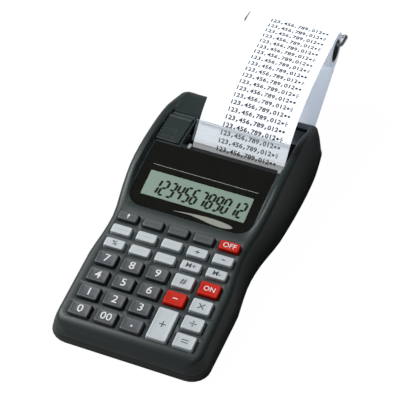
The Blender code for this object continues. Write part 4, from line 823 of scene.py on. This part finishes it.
# Cells: lacquered jacket with a silver band, steel ends and a nub
cellForm = {"radius": 7.25, "pitch": 14.8, "middle": 109.985, "half": 25.75, "height": 10.05, "nub": 2.6,
            "nubLength": 1.0, "band": 9.0}


def buildCells():
    # profiles (along, radius) turned about each cell's axis, every second cell the other way round
    f = cellForm
    for k in range(4):
        x, turn = (k - 1.5) * f["pitch"], 1 if k % 2 else -1
        r, h, n = f["radius"], f["half"], f["nubLength"]
        sections = {
            "jacket": ([(-h + 0.4, r - 0.5), (-h + 0.25, r - 0.3), (-h + 0.45, r), (h - n - f["band"], r)], "cell"),
            "band": ([(h - n - f["band"], r), (h - n - 0.45, r), (h - n - 0.25, r - 0.3), (h - n - 0.4, r - 0.9)],
                     "cellBand"),
            "ends": ([(-h, 3.2), (-h + 0.1, 3.6), (-h + 0.35, 3.8), (-h + 0.4, r - 0.6), (-h + 1.2, r - 0.6),
                      (h - n - 1.2, r - 0.9), (h - n - 0.5, r - 0.9), (h - n - 0.4, 4.0), (h - n, f["nub"] + 0.1),
                      (h - 0.3, f["nub"]), (h, f["nub"] - 0.4)], "solder"),
        }
        for part, (profile, look) in sections.items():
            rings = turnedRings(profile, 48)
            rings = np.stack([x + rings[..., 1], f["middle"] + turn * rings[..., 0], f["height"] + rings[..., 2]], -1)
            points, faces = closedTube(rings if turn < 0 else rings[:, ::-1])
            ends = part == "ends"
            addPiece(f"cell_{k + 1}_{part}", points, faces, "case", looks[look], (f"battery_{k + 1}",) if ends else (),
                     sharp=30)


buildCells()
print("stage: cells built")


# Screws under the case: sunk domed heads, each with a flat black cross: painted shade standing in for the cross recess
screwForm = {"places": ((-36.0, 24.0), (36.0, 24.0), (-40.0, 170.0), (40.0, 170.0)), "level": 1.25,
             "dome": ((-0.45, 1.1), (-0.35, 1.9), (-0.15, 2.2), (0.0, 2.2)), "crossLength": 2.4, "crossWidth": 0.45,
             "crossCorner": 0.12, "crossLevels": (0.76, 0.79)}


def buildScrews():
    f = screwForm
    parts, marks = [], []
    for x, y in f["places"]:
        rings = turnedRings(f["dome"], 32)
        parts.append(closedTube(np.stack([x + rings[..., 1], y + rings[..., 2], f["level"] + rings[..., 0]], -1)))
        for wide, deep in ((f["crossLength"], f["crossWidth"]), (f["crossWidth"], f["crossLength"])):
            ring = roundedRing(wide, deep, f["crossCorner"], 2)
            rows = [np.concatenate([ring + (x, y), np.full((len(ring), 1), h)], 1) for h in f["crossLevels"]]
            marks.append(closedTube(np.array(rows)))
    points, faces = joinShapes(parts)
    addPiece("case_screws", points, faces, "case", looks["steel"], sharp=30)
    points, faces = joinShapes(marks)
    addPiece("screw_cross_painted_shade", points, faces, "case", looks["socket"], sharp=30)


buildScrews()
print("stage: fastenings built")

# Parts that keep the frame's own mesh, and the material of each
nodeLooks = {
    "upper_case": "case", "lower_case": "caseShadedCopy", "battery_door": "caseShadedCopy", "display_panel": "panel",
    "lcd_module": "lcd", "front_foot": "rubber", "rear_foot": "rubber", "key_membrane": "silicone",
    "main_board": "board", "printer_frame": "printer", "feed_roller": "rubber", "idler_gear": "gear",
    "motor_pinion": "brass", "drive_motor": "steel", "print_carriage": "printer", "type_wheel": "printer",
    "ink_roller": "inkFoam",
}
edgeForm = {"merge": 0.002, "radius": 0.12, "angle": 38.0, "split": 32.0, "panelSplit": 6.0}
bevelled = ("upper_case", "lower_case", "battery_door", "printer_frame", "print_carriage")


def dressNodes():
    # material on each part, its loose triangles welded, its sharp edges eased and its curved faces smooth
    f = edgeForm
    for name, look in nodeLooks.items():
        node = nodes[name]
        mesh = node.data
        mesh.materials.clear()
        mesh.materials.append(looks[look])
        mesh.polygons.foreach_set("use_smooth", np.ones(len(mesh.polygons), bool))
        weld = node.modifiers.new("weld", "WELD")
        weld.merge_threshold = f["merge"] * mm
        if name in bevelled:
            ease = node.modifiers.new("ease", "BEVEL")
            ease.width, ease.segments, ease.limit_method = f["radius"] * mm, 2, "ANGLE"
            ease.angle_limit, ease.use_clamp_overlap = math.radians(f["angle"]), True
        split = node.modifiers.new("split", "EDGE_SPLIT")
        split.split_angle = math.radians(f["panelSplit"] if look == "panel" else f["split"])


dressNodes()
print("stage: frame dressed")

# Camera and studio
cameraForm = {"azimuth": 21.92, "elevation": 46.28, "distance": 997.97, "lens": 150.04, "sensor": 36.0,
              "target": (-7.389, 129.896, 0.0)}
studioForm = {"worldLevel": 0.11, "floorSize": 6.0, "floorGlow": 1.03, "floorShare": 0.96}
studioLights = {"key_light": ((-1.0, 0.05, 1.25), (0.7, 0.7), 36.0),
                "front_light": ((-0.7, -1.4, 0.3), (0.8, 0.4), 1.5)}


def buildCamera():
    f = cameraForm
    a, e = math.radians(f["azimuth"]), math.radians(f["elevation"])
    back = Vector((math.sin(a) * math.cos(e), -math.cos(a) * math.cos(e), math.sin(e)))
    data = bpy.data.cameras.new("camera")
    data.lens, data.sensor_width = f["lens"], f["sensor"]
    camera = bpy.data.objects.new("camera", data)
    bpy.context.scene.collection.objects.link(camera)
    target = Vector(f["target"]) * mm + Vector((0, frontEdge, 0))
    camera.location = target + back * f["distance"] * mm
    camera.rotation_mode = "QUATERNION"
    camera.rotation_quaternion = (-back).to_track_quat("-Z", "Y")
    data.clip_start, data.clip_end = 0.05, 50
    bpy.context.scene.camera = camera


def areaLight(name, place, size, power):
    # a rectangle of light that faces the object's middle
    data = bpy.data.lights.new(name, "AREA")
    data.shape, data.size, data.size_y, data.energy = "RECTANGLE", size[0], size[1], power
    lamp = bpy.data.objects.new(name, data)
    bpy.context.scene.collection.objects.link(lamp)
    lamp.location = place
    lamp.rotation_mode = "QUATERNION"
    lamp.rotation_quaternion = (-Vector(place)).to_track_quat("-Z", "Y")


def buildStudio():
    # world: white for what the camera sees, also through clear parts, and a plain grey level for soft light
    f = studioForm
    world = bpy.data.worlds.new("studio")
    bpy.context.scene.world = world
    world.use_nodes = True
    tree = world.node_tree
    background = tree.nodes["Background"]
    background.inputs["Color"].default_value = (1, 1, 1, 1)
    path = addNode(tree, "ShaderNodeLightPath")
    seen = addNode(tree, "ShaderNodeMath", {"operation": "MAXIMUM"})
    tree.links.new(path.outputs["Is Camera Ray"], seen.inputs[0])
    tree.links.new(path.outputs["Is Transmission Ray"], seen.inputs[1])
    level = addNode(tree, "ShaderNodeMapRange", {"To Min": f["worldLevel"], "To Max": 1.0},
                    {"Value": seen.outputs["Value"]})
    tree.links.new(level.outputs["Result"], background.inputs["Strength"])
    # floor: pale and plain, mostly white to the camera so the object's own soft shadow is faint
    material, tree, shader = newMaterial("studio_floor_pale", "#b8b8b8", 0.9)
    grain(tree, shader, 40.0, 0.01)
    path = addNode(tree, "ShaderNodeLightPath")
    glow = addNode(tree, "ShaderNodeEmission", {"Strength": f["floorGlow"]})
    share = addNode(tree, "ShaderNodeMath", {"operation": "MULTIPLY"})
    tree.links.new(path.outputs["Is Camera Ray"], share.inputs[0])
    share.inputs[1].default_value = f["floorShare"]
    mix = addNode(tree, "ShaderNodeMixShader")
    tree.links.new(share.outputs["Value"], mix.inputs[0])
    tree.links.new(shader.outputs["BSDF"], mix.inputs[1])
    tree.links.new(glow.outputs["Emission"], mix.inputs[2])
    tree.links.new(mix.outputs["Shader"], tree.nodes["Material Output"].inputs["Surface"])
    size = f["floorSize"]
    mesh = bpy.data.meshes.new("floor")
    mesh.from_pydata([(-size, -size, 0), (size, -size, 0), (size, size, 0), (-size, size, 0)], [], [(0, 1, 2, 3)])
    mesh.materials.append(material)
    floor = bpy.data.objects.new("floor", mesh)
    bpy.context.scene.collection.objects.link(floor)
    for name, (place, size, power) in studioLights.items():
        areaLight(name, place, size, power)
    bpy.context.scene.view_settings.view_transform = "Standard"


buildCamera()
buildStudio()
print("stage: studio ready")
